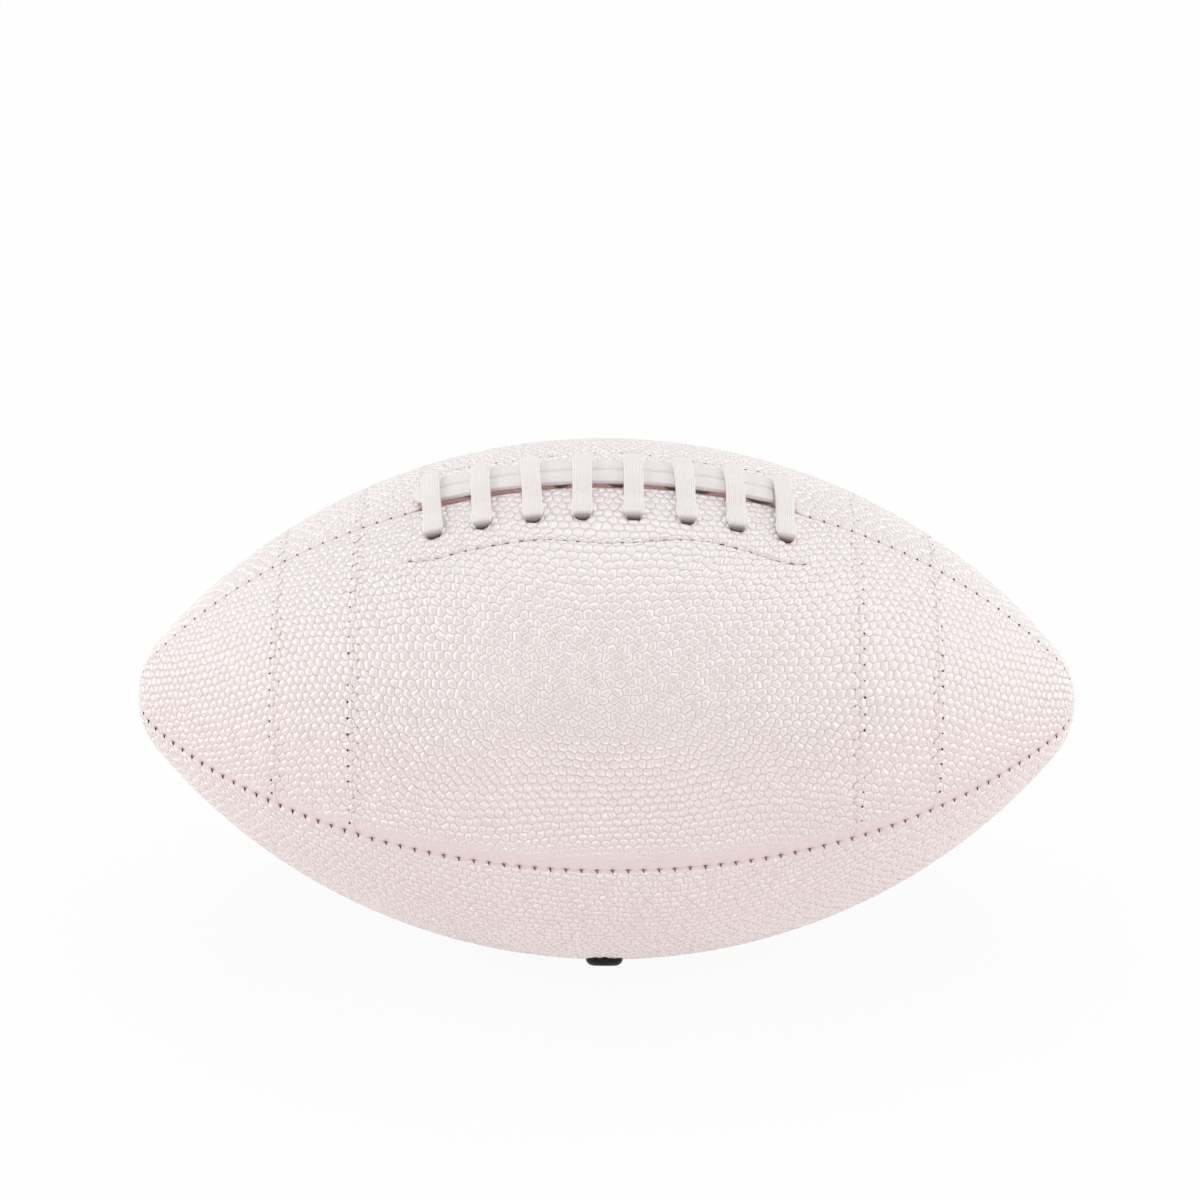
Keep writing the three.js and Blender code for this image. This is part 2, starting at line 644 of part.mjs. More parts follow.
function add(name, geometry, material) {
  const mesh = new THREE.Mesh(geometry, material);
  mesh.name = name;
  ball.add(mesh);
}

// Cover: the laced top panels are pieced from a centre, two stripe bands and two ends,
// and the bottom ones are whole
const JOINT = CLEARANCE / 2;
const SIDES = { left: -1, right: 1 };
const ends = (sign, from, to) => (sign > 0 ? [from, to] : [-to, -from]);
for (const name of ["top_front", "top_back"]) {
  const panel = PANELS[name];
  const rows = between(LACED_STATIONS, JOINT - STRIPE_INNER, STRIPE_INNER - JOINT);
  const centre = panelPiece(panel, rows, CENTRE_STEPS);
  add(`${name}_panel`, cut(centre, laceHoles(panel.lacing)), LEATHER);
  for (const [side, sign] of Object.entries(SIDES)) {
    const stripe = between(STATIONS, ...ends(sign, STRIPE_INNER + JOINT, STRIPE_OUTER - JOINT));
    const end = between(STATIONS, ...ends(sign, STRIPE_OUTER + JOINT, PANEL_END));
    add(`${name}_stripe_${side}`, panelPiece(panel, stripe, PANEL_STEPS), LEATHER);
    add(`${name}_end_${side}`, panelPiece(panel, end, PANEL_STEPS), LEATHER);
  }
}
for (const name of ["bottom_front", "bottom_back"]) {
  const whole = panelPiece(PANELS[name], STATIONS, PANEL_STEPS);
  const cutters = name === "bottom_front" ? [floorCutter(), valveBore()] : [floorCutter()];
  add(`${name}_panel`, cut(whole, cutters), LEATHER);
}

// Linings, bladder and valve
for (const [name, panel] of Object.entries(PANELS)) {
  const cloth = lining(panel);
  add(`${name}_lining`, name === "bottom_front" ? cut(cloth, [valveBore()]) : cloth, CLOTH);
}
add("bladder", bladder(), BUTYL);
add("valve_body", valveBody(), VALVE_RUBBER);
add("valve_core", valveCore(), VALVE_RUBBER);

// Lacing
const facingFront = lacingPatch(FACING_HALF, SLIT_FRONT + CLEARANCE, FACING_WIDTH, LINING_DEPTH);
const facingBack = lacingPatch(FACING_HALF, -FACING_WIDTH, -SLIT_BACK - CLEARANCE, LINING_DEPTH);
add("lace_facing_front", cut(facingFront, laceHoles(1)), FACING);
add("lace_facing_back", cut(facingBack, laceHoles(-1)), FACING);
add("lace_tongue", lacingPatch(TONGUE_HALF, -TONGUE_HALF_WIDTH, TONGUE_HALF_WIDTH, TONGUE_DEPTH), FACING);
add("lace", lace(), LACE);

// Threads: the four seams, with the top one split by the slit, the facings' rows
// and the zigzag rows of the stripes
add("seam_thread_front", seamThread(0, -SEAM_END, SEAM_END), THREAD);
add("seam_thread_back", seamThread(2 * QUARTER, -SEAM_END, SEAM_END), THREAD);
add("seam_thread_bottom", seamThread(3 * QUARTER, -SEAM_END, SEAM_END), THREAD);
for (const [side, sign] of Object.entries(SIDES)) {
  add(`seam_thread_top_${side}`, seamThread(QUARTER, ...ends(sign, SLIT_END, SEAM_END)), THREAD);
}
add("facing_stitch_front", facingStitch(1), THREAD);
add("facing_stitch_back", facingStitch(-1), THREAD);
for (const [face, panel] of [["front", PANELS.top_front], ["back", PANELS.top_back]]) {
  for (const [side, sign] of Object.entries(SIDES)) {
    add(`stripe_stitch_${face}_${side}_inner`, zigzag(panel, sign * STRIPE_INNER), THREAD);
    add(`stripe_stitch_${face}_${side}_outer`, zigzag(panel, sign * STRIPE_OUTER), THREAD);
  }
}

const football = new THREE.Group();
football.add(ball);

export default football;
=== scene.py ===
"""Looks of an american football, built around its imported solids.

Pebbled panels, a woven lace, rows of stitches and a rubber valve stand over the frame. Sizes are in
millimetres unless a name says otherwise. Every mesh is written in metres in the frame's own axes: +X along
the ball, +Z up through the laces, -Y towards the front. A place on the ball is a distance s along its
profile from the middle, an angle about the long axis that is 0 at the front and a quarter turn at the top,
and a height above the surface.
"""
import logging
import math
from dataclasses import dataclass, field
from enum import Enum

import bmesh
import bpy
import numpy as np
from bpy.types import Material, Mesh, Node, NodeSocket, NodeTree, Object
from mathutils import Matrix, Vector


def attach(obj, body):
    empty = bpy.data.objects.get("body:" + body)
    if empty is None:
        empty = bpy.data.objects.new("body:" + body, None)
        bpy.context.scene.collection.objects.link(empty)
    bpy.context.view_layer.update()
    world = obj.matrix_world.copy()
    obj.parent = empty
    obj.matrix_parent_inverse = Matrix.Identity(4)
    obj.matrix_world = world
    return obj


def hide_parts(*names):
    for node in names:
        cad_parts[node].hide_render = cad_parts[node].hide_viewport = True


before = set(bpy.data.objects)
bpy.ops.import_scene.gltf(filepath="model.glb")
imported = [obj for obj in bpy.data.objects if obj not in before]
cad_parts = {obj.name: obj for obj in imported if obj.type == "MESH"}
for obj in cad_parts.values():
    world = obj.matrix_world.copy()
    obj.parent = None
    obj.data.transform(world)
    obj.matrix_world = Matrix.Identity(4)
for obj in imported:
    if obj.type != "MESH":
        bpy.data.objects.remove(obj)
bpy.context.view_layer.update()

Array = np.ndarray
LOG = logging.getLogger("football")
MM = 0.001
QUARTER = math.pi / 2
BODY = "root"
# Attributes of the cover's faces: the middles of the three bumps nearest to each
NEAR_BUMPS = ("near_bump", "second_bump", "third_bump")
WHITE = (1.0, 1.0, 1.0, 1.0)


class Option(Enum):
    """A choice with a plain name."""

    @property
    def label(self) -> str:
        """The name as it stands in the frame."""
        return self.name.lower()


class Quarter(Option):
    """The four panels, by the quarter turns from the front at which they start."""

    TOP_FRONT = 0
    TOP_BACK = 1
    BOTTOM_BACK = 2
    BOTTOM_FRONT = 3

    @property
    def start(self) -> float:
        """The angle of the panel's first seam."""
        return self.value * QUARTER

    @property
    def middle(self) -> float:
        """The angle halfway across the panel."""
        return self.start + QUARTER / 2

    @property
    def whole(self) -> bool:
        """Whether it is a bottom panel, in one piece without bands or lace holes."""
        return self in (Quarter.BOTTOM_BACK, Quarter.BOTTOM_FRONT)


class Side(Option):
    """The two ends of the ball, as signs along X."""

    LEFT = -1
    RIGHT = 1


class Row(Option):
    """The two rows of lace holes, as signs in front of the top seam."""

    FRONT = 1
    BACK = -1

    @property
    def quarter(self) -> Quarter:
        """The panel that the row is in."""
        return Quarter.TOP_FRONT if self is Row.FRONT else Quarter.TOP_BACK


def linear(hex_colour: str) -> tuple[float, float, float, float]:
    """Turns an sRGB hex colour to the linear one that shaders take.

    Args:
        hex_colour: six hex digits, as in "f0e5e4".

    Returns:
        Red, green, blue and alpha.
    """
    shares = [int(hex_colour[i : i + 2], 16) / 255 for i in (0, 2, 4)]
    rgb = [c / 12.92 if c <= 0.04045 else ((c + 0.055) / 1.055) ** 2.4 for c in shares]
    return (*rgb, 1.0)


def smooth(low: float, high: float, value: Array) -> Array:
    """A smooth step from 0 at low to 1 at high."""
    share = np.clip((value - low) / (high - low), 0.0, 1.0)
    return share * share * (3 - 2 * share)


def hump(value: Array, width: float) -> Array:
    """A rounded hump of height 1 at 0, which has fallen to about a third at its width."""
    return np.exp(-((value / width) ** 2))


def add_node(tree: NodeTree, kind: str, inputs: dict | None = None, **settings: object) -> Node:
    """Adds a node with its settings, and links or sets its inputs.

    Args:
        tree: the tree that gets the node.
        kind: the node's type.
        inputs: sockets by name or number, each with a value or with the socket that feeds it.
        settings: the node's own properties.

    Returns:
        The new node.
    """
    node = tree.nodes.new(kind)
    for name, value in settings.items():
        setattr(node, name, value)
    for key, value in (inputs or {}).items():
        if isinstance(value, NodeSocket):
            tree.links.new(value, node.inputs[key])
        else:
            node.inputs[key].default_value = value
    return node


def new_material(name: str) -> tuple[Material, NodeTree]:
    """Starts a material with an empty node tree.

    Args:
        name: the material's name.

    Returns:
        The material and its tree.
    """
    material = bpy.data.materials.new(name)
    material.use_nodes = True
    material.node_tree.nodes.clear()
    return material, material.node_tree


def end_material(tree: NodeTree, inputs: dict) -> None:
    """Ends a material with one principled shader that has these inputs."""
    shader = add_node(tree, "ShaderNodeBsdfPrincipled", inputs)
    add_node(tree, "ShaderNodeOutputMaterial", {"Surface": shader.outputs["BSDF"]})


@dataclass(frozen=True)
class PebbleField:
    """Where the bumps of the grain lie: a staggered lattice, shaken so that no two bumps are alike."""

    pitch: float = 2.75
    shake: tuple[float, float] = (0.2, 0.2)
    repeat: int = 199
    seed: int = 11

    def nearest(self, places: Array) -> Array:
        """The middles of the bumps that are nearest to some places.

        Args:
            places: places on the leather in millimetres, two numbers a row.

        Returns:
            For each place, the nearest middles in order.
        """
        shaken = np.random.default_rng(self.seed).uniform(-1.0, 1.0, (self.repeat, self.repeat, 2))
        rise = self.pitch * math.sqrt(3) / 2
        first_row = np.floor(places[:, 1] / rise).astype(int)
        middles = []
        for row_step in range(-1, 3):
            row = first_row + row_step
            stagger = 0.5 * (row % 2)
            first = np.floor(places[:, 0] / self.pitch - stagger).astype(int)
            for step in range(-1, 3):
                column = first + step
                lattice = np.stack([(column + stagger) * self.pitch, row * rise], axis=-1)
                moved = shaken[row % self.repeat, column % self.repeat]
                middles.append(lattice + np.array(self.shake) * self.pitch * moved)
        middles = np.stack(middles, axis=1)
        far = np.sum((middles - places[:, None]) ** 2, axis=-1)
        order = np.argsort(far, axis=1)[:, : len(NEAR_BUMPS)]
        return np.take_along_axis(middles, order[:, :, None], axis=1)

    def from_valley(self, places: Array) -> Array:
        """How far places are from the nearest valley between two bumps, in millimetres."""
        far = np.sum((self.nearest(places) - places[:, None]) ** 2, axis=-1)
        return (far[:, 1] - far[:, 0]) / (2 * self.pitch)


@dataclass(frozen=True)
class CoverLeather:
    """Polyurethane-coated leather embossed with pebbles: a sheen, rims painted paler as a painted highlight,
    narrow valleys painted duller as painted shade.
    """

    pebbles: PebbleField
    top_colour: str = "ecdfde"
    # The rims are painted paler than the tops, a painted highlight, and the valleys darker, painted shade
    rim_highlight_colour: str = "fcf6f4"
    valley_shade_colour: str = "ded0cf"
    # The seams' valleys are painted darker and pinker: painted shade
    seam_shade_colour: str = "eddad9"
    valley_width: float = 0.03
    rim_from: float = 0.2
    rim_to: float = 0.42
    top_from: float = 0.8
    relief: float = 0.2
    relief_strength: float = 0.8
    patch_size: float = 38.0
    bump_share: float = 0.35
    darkest: float = 0.955
    pore_size: float = 0.4
    pore_depth: float = 0.1
    roughness: tuple[float, float] = (0.6, 0.4)

    def from_valley(self, tree: NodeTree, grain: NodeSocket) -> NodeSocket:
        """The distance from the nearest valley, as the mesh's own relief has it.

        Args:
            tree: the material's tree.
            grain: places on the leather in millimetres.

        Returns:
            The distance's socket, in millimetres.
        """
        known = {"span": 2 * self.pebbles.pitch}
        for name in NEAR_BUMPS:
            middle = add_node(tree, "ShaderNodeAttribute", attribute_name=name).outputs["Vector"]
            away = add_node(tree, "ShaderNodeVectorMath", {0: grain, 1: middle}, operation="DISTANCE")
            inputs = {0: away.outputs["Value"], 1: 2.0}
            known[name] = add_node(tree, "ShaderNodeMath", inputs, operation="POWER").outputs[0]
        one, two, three = NEAR_BUMPS
        # The bumps of a face are in order at its middle only, so each point sorts them anew
        for name, operation, left, right in (
            ("low", "MINIMUM", one, two),
            ("high", "MAXIMUM", one, two),
            ("least", "MINIMUM", "low", three),
            ("upper", "MINIMUM", "high", three),
            ("second", "MAXIMUM", "low", "upper"),
            ("spread", "SUBTRACT", "second", "least"),
            ("distance", "DIVIDE", "spread", "span"),
        ):
            inputs = {0: known[left], 1: known[right]}
            known[name] = add_node(tree, "ShaderNodeMath", inputs, operation=operation).outputs[0]
        return known["distance"]

    def painted_light_tones(self, tree: NodeTree, distance: NodeSocket) -> NodeSocket:
        """The colour from valley to rim to top of a bump: painted shade in the valleys and a painted
        highlight on the rims.

        Args:
            tree: the material's tree.
            distance: the distance from the nearest valley, in millimetres.

        Returns:
            The colour's socket.
        """
        ramp = add_node(tree, "ShaderNodeValToRGB", {"Fac": distance})
        stops = (
            (self.valley_width, self.valley_shade_colour),
            (self.rim_from, self.rim_highlight_colour),
            (self.rim_to, self.rim_highlight_colour),
            (self.top_from, self.top_colour),
        )
        elements = ramp.color_ramp.elements
        while len(elements) < len(stops):
            elements.new(0.5)
        for element, (place, colour) in zip(elements, stops):
            element.position = place
            element.color = linear(colour)
        return ramp.outputs["Color"]

    def dye(self, tree: NodeTree, distance: NodeSocket, pebble: NodeSocket) -> NodeSocket:
        """The leather's colour away from its seams: a random tone from bump to bump, with painted shade in
        the valleys and a painted highlight on the rims.

        Args:
            tree: the material's tree.
            distance: the distance from the nearest valley, in millimetres.
            pebble: how strong the grain is.

        Returns:
            The colour's socket.
        """
        # Where the grain is pulled flat, the valleys' painted shade and the rims' painted highlight fade to
        # the tone of the tops
        inputs = {"Factor": pebble, 6: linear(self.top_colour), 7: self.painted_light_tones(tree, distance)}
        tone = add_node(tree, "ShaderNodeMix", inputs, data_type="RGBA").outputs[2]
        # Each bump is dyed a little differently, and the tone drifts over the hide
        bump_middle = add_node(tree, "ShaderNodeAttribute", attribute_name=NEAR_BUMPS[0]).outputs["Vector"]
        each = add_node(tree, "ShaderNodeTexWhiteNoise", {"Vector": bump_middle}, noise_dimensions="2D")
        place = add_node(tree, "ShaderNodeTexCoord").outputs["Object"]
        inputs = {"Vector": place, "Scale": 1 / (self.patch_size * MM), "Detail": 2.0}
        patches = add_node(tree, "ShaderNodeTexNoise", inputs)
        inputs = {0: each.outputs["Value"], 1: self.bump_share, 2: patches.outputs["Fac"]}
        uneven = add_node(tree, "ShaderNodeMath", inputs, operation="MULTIPLY_ADD").outputs[0]
        darker = add_node(tree, "ShaderNodeMapRange", {0: uneven, 1: 0.2, 2: 1.1, 3: 1.0, 4: self.darkest})
        inputs = {"Factor": 1.0, 6: tone, 7: darker.outputs[0]}
        return add_node(tree, "ShaderNodeMix", inputs, data_type="RGBA", blend_type="MULTIPLY").outputs[2]

    def material(self) -> Material:
        """Builds the material on the grain that each cover piece carries."""
        material, tree = new_material("pebbled_pu_leather")
        grain = add_node(tree, "ShaderNodeAttribute", attribute_name="grain").outputs["Vector"]
        pebble = add_node(tree, "ShaderNodeAttribute", attribute_name="pebble").outputs["Fac"]
        seam = add_node(tree, "ShaderNodeAttribute", attribute_name="seam").outputs["Fac"]
        distance = self.from_valley(tree, grain)
        # In the seams' valleys the colour turns to the seam colour: painted shade
        inputs = {"Factor": seam, 6: self.dye(tree, distance, pebble), 7: linear(self.seam_shade_colour)}
        base = add_node(tree, "ShaderNodeMix", inputs, data_type="RGBA")
        inputs = {0: distance, 1: 0.0, 2: self.rim_to}
        rise = add_node(tree, "ShaderNodeMapRange", inputs, interpolation_type="SMOOTHSTEP").outputs[0]
        height = add_node(tree, "ShaderNodeMapRange", {0: pebble, 3: 1.0, 4: rise}).outputs[0]
        rough = add_node(tree, "ShaderNodeMapRange", {0: height, 3: self.roughness[0], 4: self.roughness[1]})
        inputs = {"Vector": grain, "Scale": 1 / self.pore_size, "Detail": 2.0}
        pores = add_node(tree, "ShaderNodeTexNoise", inputs).outputs["Fac"]
        inputs = {"Strength": 0.1, "Distance": self.pore_depth * MM, "Height": pores}
        fine = add_node(tree, "ShaderNodeBump", inputs).outputs[0]
        inputs = {"Distance": self.relief * MM, "Height": height, "Normal": fine}
        bump = add_node(tree, "ShaderNodeBump", {"Strength": self.relief_strength, **inputs}).outputs[0]
        inputs = {"Base Color": base.outputs[2], "Roughness": rough.outputs[0], "IOR": 1.5, "Normal": bump}
        coat = {"Coat Weight": 1.0, "Coat Roughness": 0.16, "Coat IOR": 1.6, "Coat Normal": bump}
        end_material(tree, inputs | coat)
        return material


@dataclass(frozen=True)
class Woven:
    """Cloth of crossing yarns: ribs one way, a weaker weft the other, and a little fuzz."""

    colour: str
    shade: str
    rib: float
    weft: float
    depth: float
    strength: float
    weft_share: float = 0.4
    fuzz_share: float = 0.4
    fuzz_scale: float = 1.6

    def yarns(self, tree: NodeTree, places: NodeSocket) -> tuple[NodeSocket, NodeSocket]:
        """The colour and the relief of the yarns.

        Args:
            tree: the material's tree.
            places: places on the cloth in millimetres, along and across.

        Returns:
            The colour's socket and the normal's.
        """
        along, across, _ = add_node(tree, "ShaderNodeSeparateXYZ", {0: places}).outputs
        waves = []
        for socket, pitch in ((across, self.rib), (along, self.weft)):
            inputs = {0: socket, 1: math.tau / pitch}
            turn = add_node(tree, "ShaderNodeMath", inputs, operation="MULTIPLY")
            wave = add_node(tree, "ShaderNodeMath", {0: turn.outputs[0]}, operation="COSINE")
            waves.append(add_node(tree, "ShaderNodeMapRange", {0: wave.outputs[0], 1: -1.0}).outputs[0])
        inputs = {"Vector": places, "Scale": self.fuzz_scale, "Detail": 3.0}
        fuzz = add_node(tree, "ShaderNodeTexNoise", inputs).outputs["Fac"]
        height = waves[0]
        for added, share in ((waves[1], self.weft_share), (fuzz, self.fuzz_share)):
            inputs = {0: added, 1: share, 2: height}
            height = add_node(tree, "ShaderNodeMath", inputs, operation="MULTIPLY_ADD").outputs[0]
        # Where the weave lies low the colour turns to the shade: painted shade between the yarns
        tone = add_node(tree, "ShaderNodeMapRange", {0: height, 1: 0.1, 2: 1.3}).outputs[0]
        inputs = {"Factor": tone, 6: linear(self.shade), 7: linear(self.colour)}
        colour = add_node(tree, "ShaderNodeMix", inputs, data_type="RGBA").outputs[2]
        inputs = {"Strength": self.strength, "Distance": self.depth * MM, "Height": height}
        return colour, add_node(tree, "ShaderNodeBump", inputs).outputs[0]


@dataclass(frozen=True)
class Webbing(Woven):
    """Woven polyester lace: fine ribs along its length crossed by the weft, matt with a soft bloom."""

    colour: str = "fbf7f5"
    shade: str = "eae2e0"
    rib: float = 0.62
    weft: float = 0.55
    depth: float = 0.12
    strength: float = 0.6
    hole_shade_colour: str = "5c4844"

    def material(self) -> Material:
        """Builds the material on the lace's own weave coordinates, in millimetres."""
        material, tree = new_material("woven_polyester_webbing")
        weave = add_node(tree, "ShaderNodeAttribute", attribute_name="weave").outputs["Vector"]
        hidden = add_node(tree, "ShaderNodeAttribute", attribute_name="hidden").outputs["Fac"]
        colour, normal = self.yarns(tree, weave)
        # Where the lace goes below the surface and down into a hole, its colour turns dark brown: painted
        # shade
        inputs = {"Factor": hidden, 6: colour, 7: linear(self.hole_shade_colour)}
        base = add_node(tree, "ShaderNodeMix", inputs, data_type="RGBA").outputs[2]
        inputs = {"Base Color": base, "Roughness": 0.82, "IOR": 1.5, "Normal": normal}
        end_material(tree, inputs | {"Sheen Weight": 0.2, "Sheen Roughness": 0.5})
        return material


@dataclass(frozen=True)
class Cloth(Woven):
    """Plain-woven cotton: an even criss-cross of yarns, drawn coarse enough to show, matt."""

    rib: float = 0.8
    weft: float = 0.8
    depth: float = 0.15
    strength: float = 0.5
    name: str = "cotton_drill"

    def material(self) -> Material:
        """Builds the material on the object's own coordinates."""
        material, tree = new_material(self.name)
        place = add_node(tree, "ShaderNodeTexCoord").outputs["Object"]
        scaled = add_node(tree, "ShaderNodeVectorMath", {0: place, "Scale": 1 / MM}, operation="SCALE")
        colour, normal = self.yarns(tree, scaled.outputs[0])
        end_material(tree, {"Base Color": colour, "Roughness": 0.9, "IOR": 1.5, "Normal": normal})
        return material


@dataclass(frozen=True)
class Mottled:
    """A close material with a fine uneven surface, such as moulded rubber or waxed thread."""

    name: str
    colour: str
    shade: str
    roughness: float
    speckle: float
    depth: float
    gloss: float = 0.5

    def material(self) -> Material:
        """Builds the material on the object's own coordinates."""
        material, tree = new_material(self.name)
        place = add_node(tree, "ShaderNodeTexCoord").outputs["Object"]
        inputs = {"Vector": place, "Scale": 1 / (self.speckle * MM), "Detail": 3.0}
        noise = add_node(tree, "ShaderNodeTexNoise", inputs).outputs["Fac"]
        inputs = {"Factor": noise, 6: linear(self.shade), 7: linear(self.colour)}
        base = add_node(tree, "ShaderNodeMix", inputs, data_type="RGBA").outputs[2]
        inputs = {"Strength": 0.3, "Distance": self.depth * MM, "Height": noise}
        bump = add_node(tree, "ShaderNodeBump", inputs).outputs[0]
        inputs = {"Base Color": base, "Roughness": self.roughness, "IOR": 1.5, "Normal": bump}
        end_material(tree, inputs | {"Specular IOR Level": self.gloss})
        return material


@dataclass(frozen=True)
class BallShape:
    """The outside of the ball: one arc over the belly that runs on into a round tip at each end."""

    length: float = 280.0
    diameter: float = 155.4
    tip_radius: float = 25.0
    rest_flat: float = 0.5

    @property
    def radius(self) -> float:
        """Half the belly's diameter."""
        return self.diameter / 2

    @property
    def axis_height(self) -> float:
        """How high the long axis lies over the floor."""
        return self.radius - self.rest_flat

    @property
    def tip_centre(self) -> float:
        """Where the round of a tip has its centre, along X."""
        return self.length / 2 - self.tip_radius

    @property
    def arc_radius(self) -> float:
        """The radius of the arc over the belly."""
        spread = self.tip_centre**2 + self.radius**2 - self.tip_radius**2
        return spread / (2 * (self.radius - self.tip_radius))

    @property
    def belly_angle(self) -> float:
        """Half the angle that the belly's arc turns through."""
        return math.atan2(self.tip_centre, self.arc_radius - self.radius)

    @property
    def belly_arc(self) -> float:
        """The length of half the belly's arc."""
        return self.arc_radius * self.belly_angle

    @property
    def tip_arc(self) -> float:
        """The length of half the profile."""
        return self.belly_arc + self.tip_radius * (QUARTER - self.belly_angle)

    def profile(self, s: Array) -> tuple[Array, Array, Array, Array]:
        """Places on the profile.

        Args:
            s: distances along it from the middle.

        Returns:
            The place along X, the radius, and the outward normal's two parts.
        """
        s = np.asarray(s, dtype=float)
        along = np.minimum(np.abs(s), self.belly_arc)
        angle = along / self.arc_radius + (np.abs(s) - along) / self.tip_radius
        tip = np.abs(s) > self.belly_arc
        bend = np.where(tip, self.tip_radius, self.arc_radius)
        x = bend * np.sin(angle) + np.where(tip, self.tip_centre, 0.0)
        r = bend * np.cos(angle) - np.where(tip, 0.0, self.arc_radius - self.radius)
        return np.sign(s) * x, r, np.sign(s) * np.sin(angle), np.cos(angle)

    def places(self, s: Array, angle: Array, height: Array) -> Array:
        """Points over the surface.

        Args:
            s: distances along the profile.
            angle: angles about the long axis.
            height: heights above the surface.

        Returns:
            The points in metres, one row each.
        """
        x, r, nx, nr = self.profile(s)
        out = r + height * nr
        points = [x + height * nx, -out * np.cos(angle), out * np.sin(angle) + self.axis_height]
        return MM * np.stack(points, axis=-1)

    def directions(self, s: Array, angle: Array) -> tuple[Array, Array, Array]:
        """The directions at places on the surface.

        Args:
            s: distances along the profile.
            angle: angles about the long axis.

        Returns:
            Unit vectors along the ball, round it with the angle, and out of it.
        """
        _, _, nx, nr = self.profile(s)
        sine, cosine, none = np.sin(angle), np.cos(angle), np.zeros_like(nx)
        along = np.stack([nr, nx * cosine, -nx * sine], axis=-1)
        around = np.stack([none, sine, cosine], axis=-1)
        out = np.stack([nx, -nr * cosine, nr * sine], axis=-1)
        return along, around, out

    def frame_at(self, s: float, angle: float, height: float) -> Matrix:
        """A frame on the surface: X along the ball, Y round it, Z out of it.

        Args:
            s: distance along the profile.
            angle: angle about the long axis.
            height: height above the surface.

        Returns:
            The frame, with its place in metres and its axes a millimetre long.
        """
        axes = [Vector(axis) for axis in self.directions(np.array(s), np.array(angle))]
        matrix = Matrix(axes).transposed().to_4x4()
        matrix.translation = Vector(self.places(np.array(s), np.array(angle), np.array(height)))
        return matrix @ Matrix.Scale(MM, 4)


def new_piece(name: str, mesh: Mesh, material: Material) -> Object:
    """Makes a smooth-shaded object of a mesh.

    Args:
        name: the piece's name.
        mesh: its mesh, with its place in its vertices.
        material: its material.

    Returns:
        The object, linked to the scene.
    """
    mesh.materials.append(material)
    mesh.polygons.foreach_set("use_smooth", [True] * len(mesh.polygons))
    piece = bpy.data.objects.new(name, mesh)
    bpy.context.scene.collection.objects.link(piece)
    return piece


def settle(piece: Object, slot: str, *nodes: str) -> None:
    """Rides a piece on the ball and lets it stand for its solids.

    Args:
        piece: the finished piece.
        slot: the name of a material slot, which is not used.
        nodes: the solids that it stands for, if any.
    """
    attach(piece, BODY)
    if nodes:
        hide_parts(*nodes)
    LOG.info("%s: %d faces", piece.name, len(piece.data.polygons))


def mesh_of(bm: bmesh.types.BMesh, name: str) -> Mesh:
    """Writes a bmesh to a new mesh and frees it.

    Args:
        bm: the finished bmesh.
        name: the mesh's name.

    Returns:
        The mesh.
    """
    mesh = bpy.data.meshes.new(name)
    bm.to_mesh(mesh)
    bm.free()
    return mesh


def shell_mesh(name: str, fine: tuple[int, int], coarse: tuple[int, int]) -> Mesh:
    """A closed flat sheet: a fine grid over a coarse one, with their rims bridged.

    Args:
        name: the mesh's name.
        fine: rows and columns of the upper grid.
        coarse: rows and columns of the lower one.

    Returns:
        The mesh, from -1 to 1 in X and Y, with the lower grid at Z -1.
    """
    bm = bmesh.new()
    for layer, (rows, columns) in enumerate((fine, coarse)):
        lowered = Matrix.Translation((0, 0, -layer))
        bmesh.ops.create_grid(bm, x_segments=rows, y_segments=columns, size=1.0, matrix=lowered)
    bmesh.ops.bridge_loops(bm, edges=[edge for edge in bm.edges if edge.is_boundary])
    bmesh.ops.recalc_face_normals(bm, faces=bm.faces[:])
    return mesh_of(bm, name)


def flat_places(mesh: Mesh) -> tuple[Array, Array, Array]:
    """Where the vertices of a flat sheet lie on it.

    Args:
        mesh: a mesh of shell_mesh, or one grid like its upper one.

    Returns:
        The share along its rows, the share across its columns, and which vertices are on the upper grid.
    """
    places = np.empty(3 * len(mesh.vertices), dtype=np.float32)
    mesh.vertices.foreach_get("co", places)
    flat = places.reshape(-1, 3).astype(float)
    return (flat[:, 0] + 1) / 2, (flat[:, 1] + 1) / 2, flat[:, 2] > -0.5


def move_vertices(mesh: Mesh, places: Array) -> None:
    """Moves a mesh's vertices to new places in metres, one row each."""
    mesh.vertices.foreach_set("co", places.astype(np.float32).ravel())
    mesh.update()


def keep_attribute(mesh: Mesh, name: str, values: Array, domain: str = "POINT") -> None:
    """Stores numbers on a mesh for its material.

    Args:
        mesh: the mesh.
        name: the attribute's name.
        values: one number for each element, or a row of two or three.
        domain: what the elements are.
    """
    kind, key = ("FLOAT", "value") if values.ndim == 1 else ("FLOAT_VECTOR", "vector")
    if values.ndim == 2 and values.shape[1] == 2:
        values = np.column_stack([values, np.zeros(len(values))])
    attribute = mesh.attributes.new(name, kind, domain)
    attribute.data.foreach_set(key, values.astype(np.float32).ravel())


def face_means(mesh: Mesh, values: Array) -> Array:
    """The mean of vertex values over each face.

    Args:
        mesh: the mesh.
        values: rows of numbers, one for each vertex.

    Returns:
        Rows of numbers, one for each face.
    """
    corners = np.empty(len(mesh.loops), dtype=np.int32)
    mesh.loops.foreach_get("vertex_index", corners)
    counts = np.empty(len(mesh.polygons), dtype=np.int32)
    mesh.polygons.foreach_get("loop_total", counts)
    starts = np.concatenate([[0], np.cumsum(counts)[:-1]])
    return np.add.reduceat(values[corners], starts, axis=0) / counts[:, None]


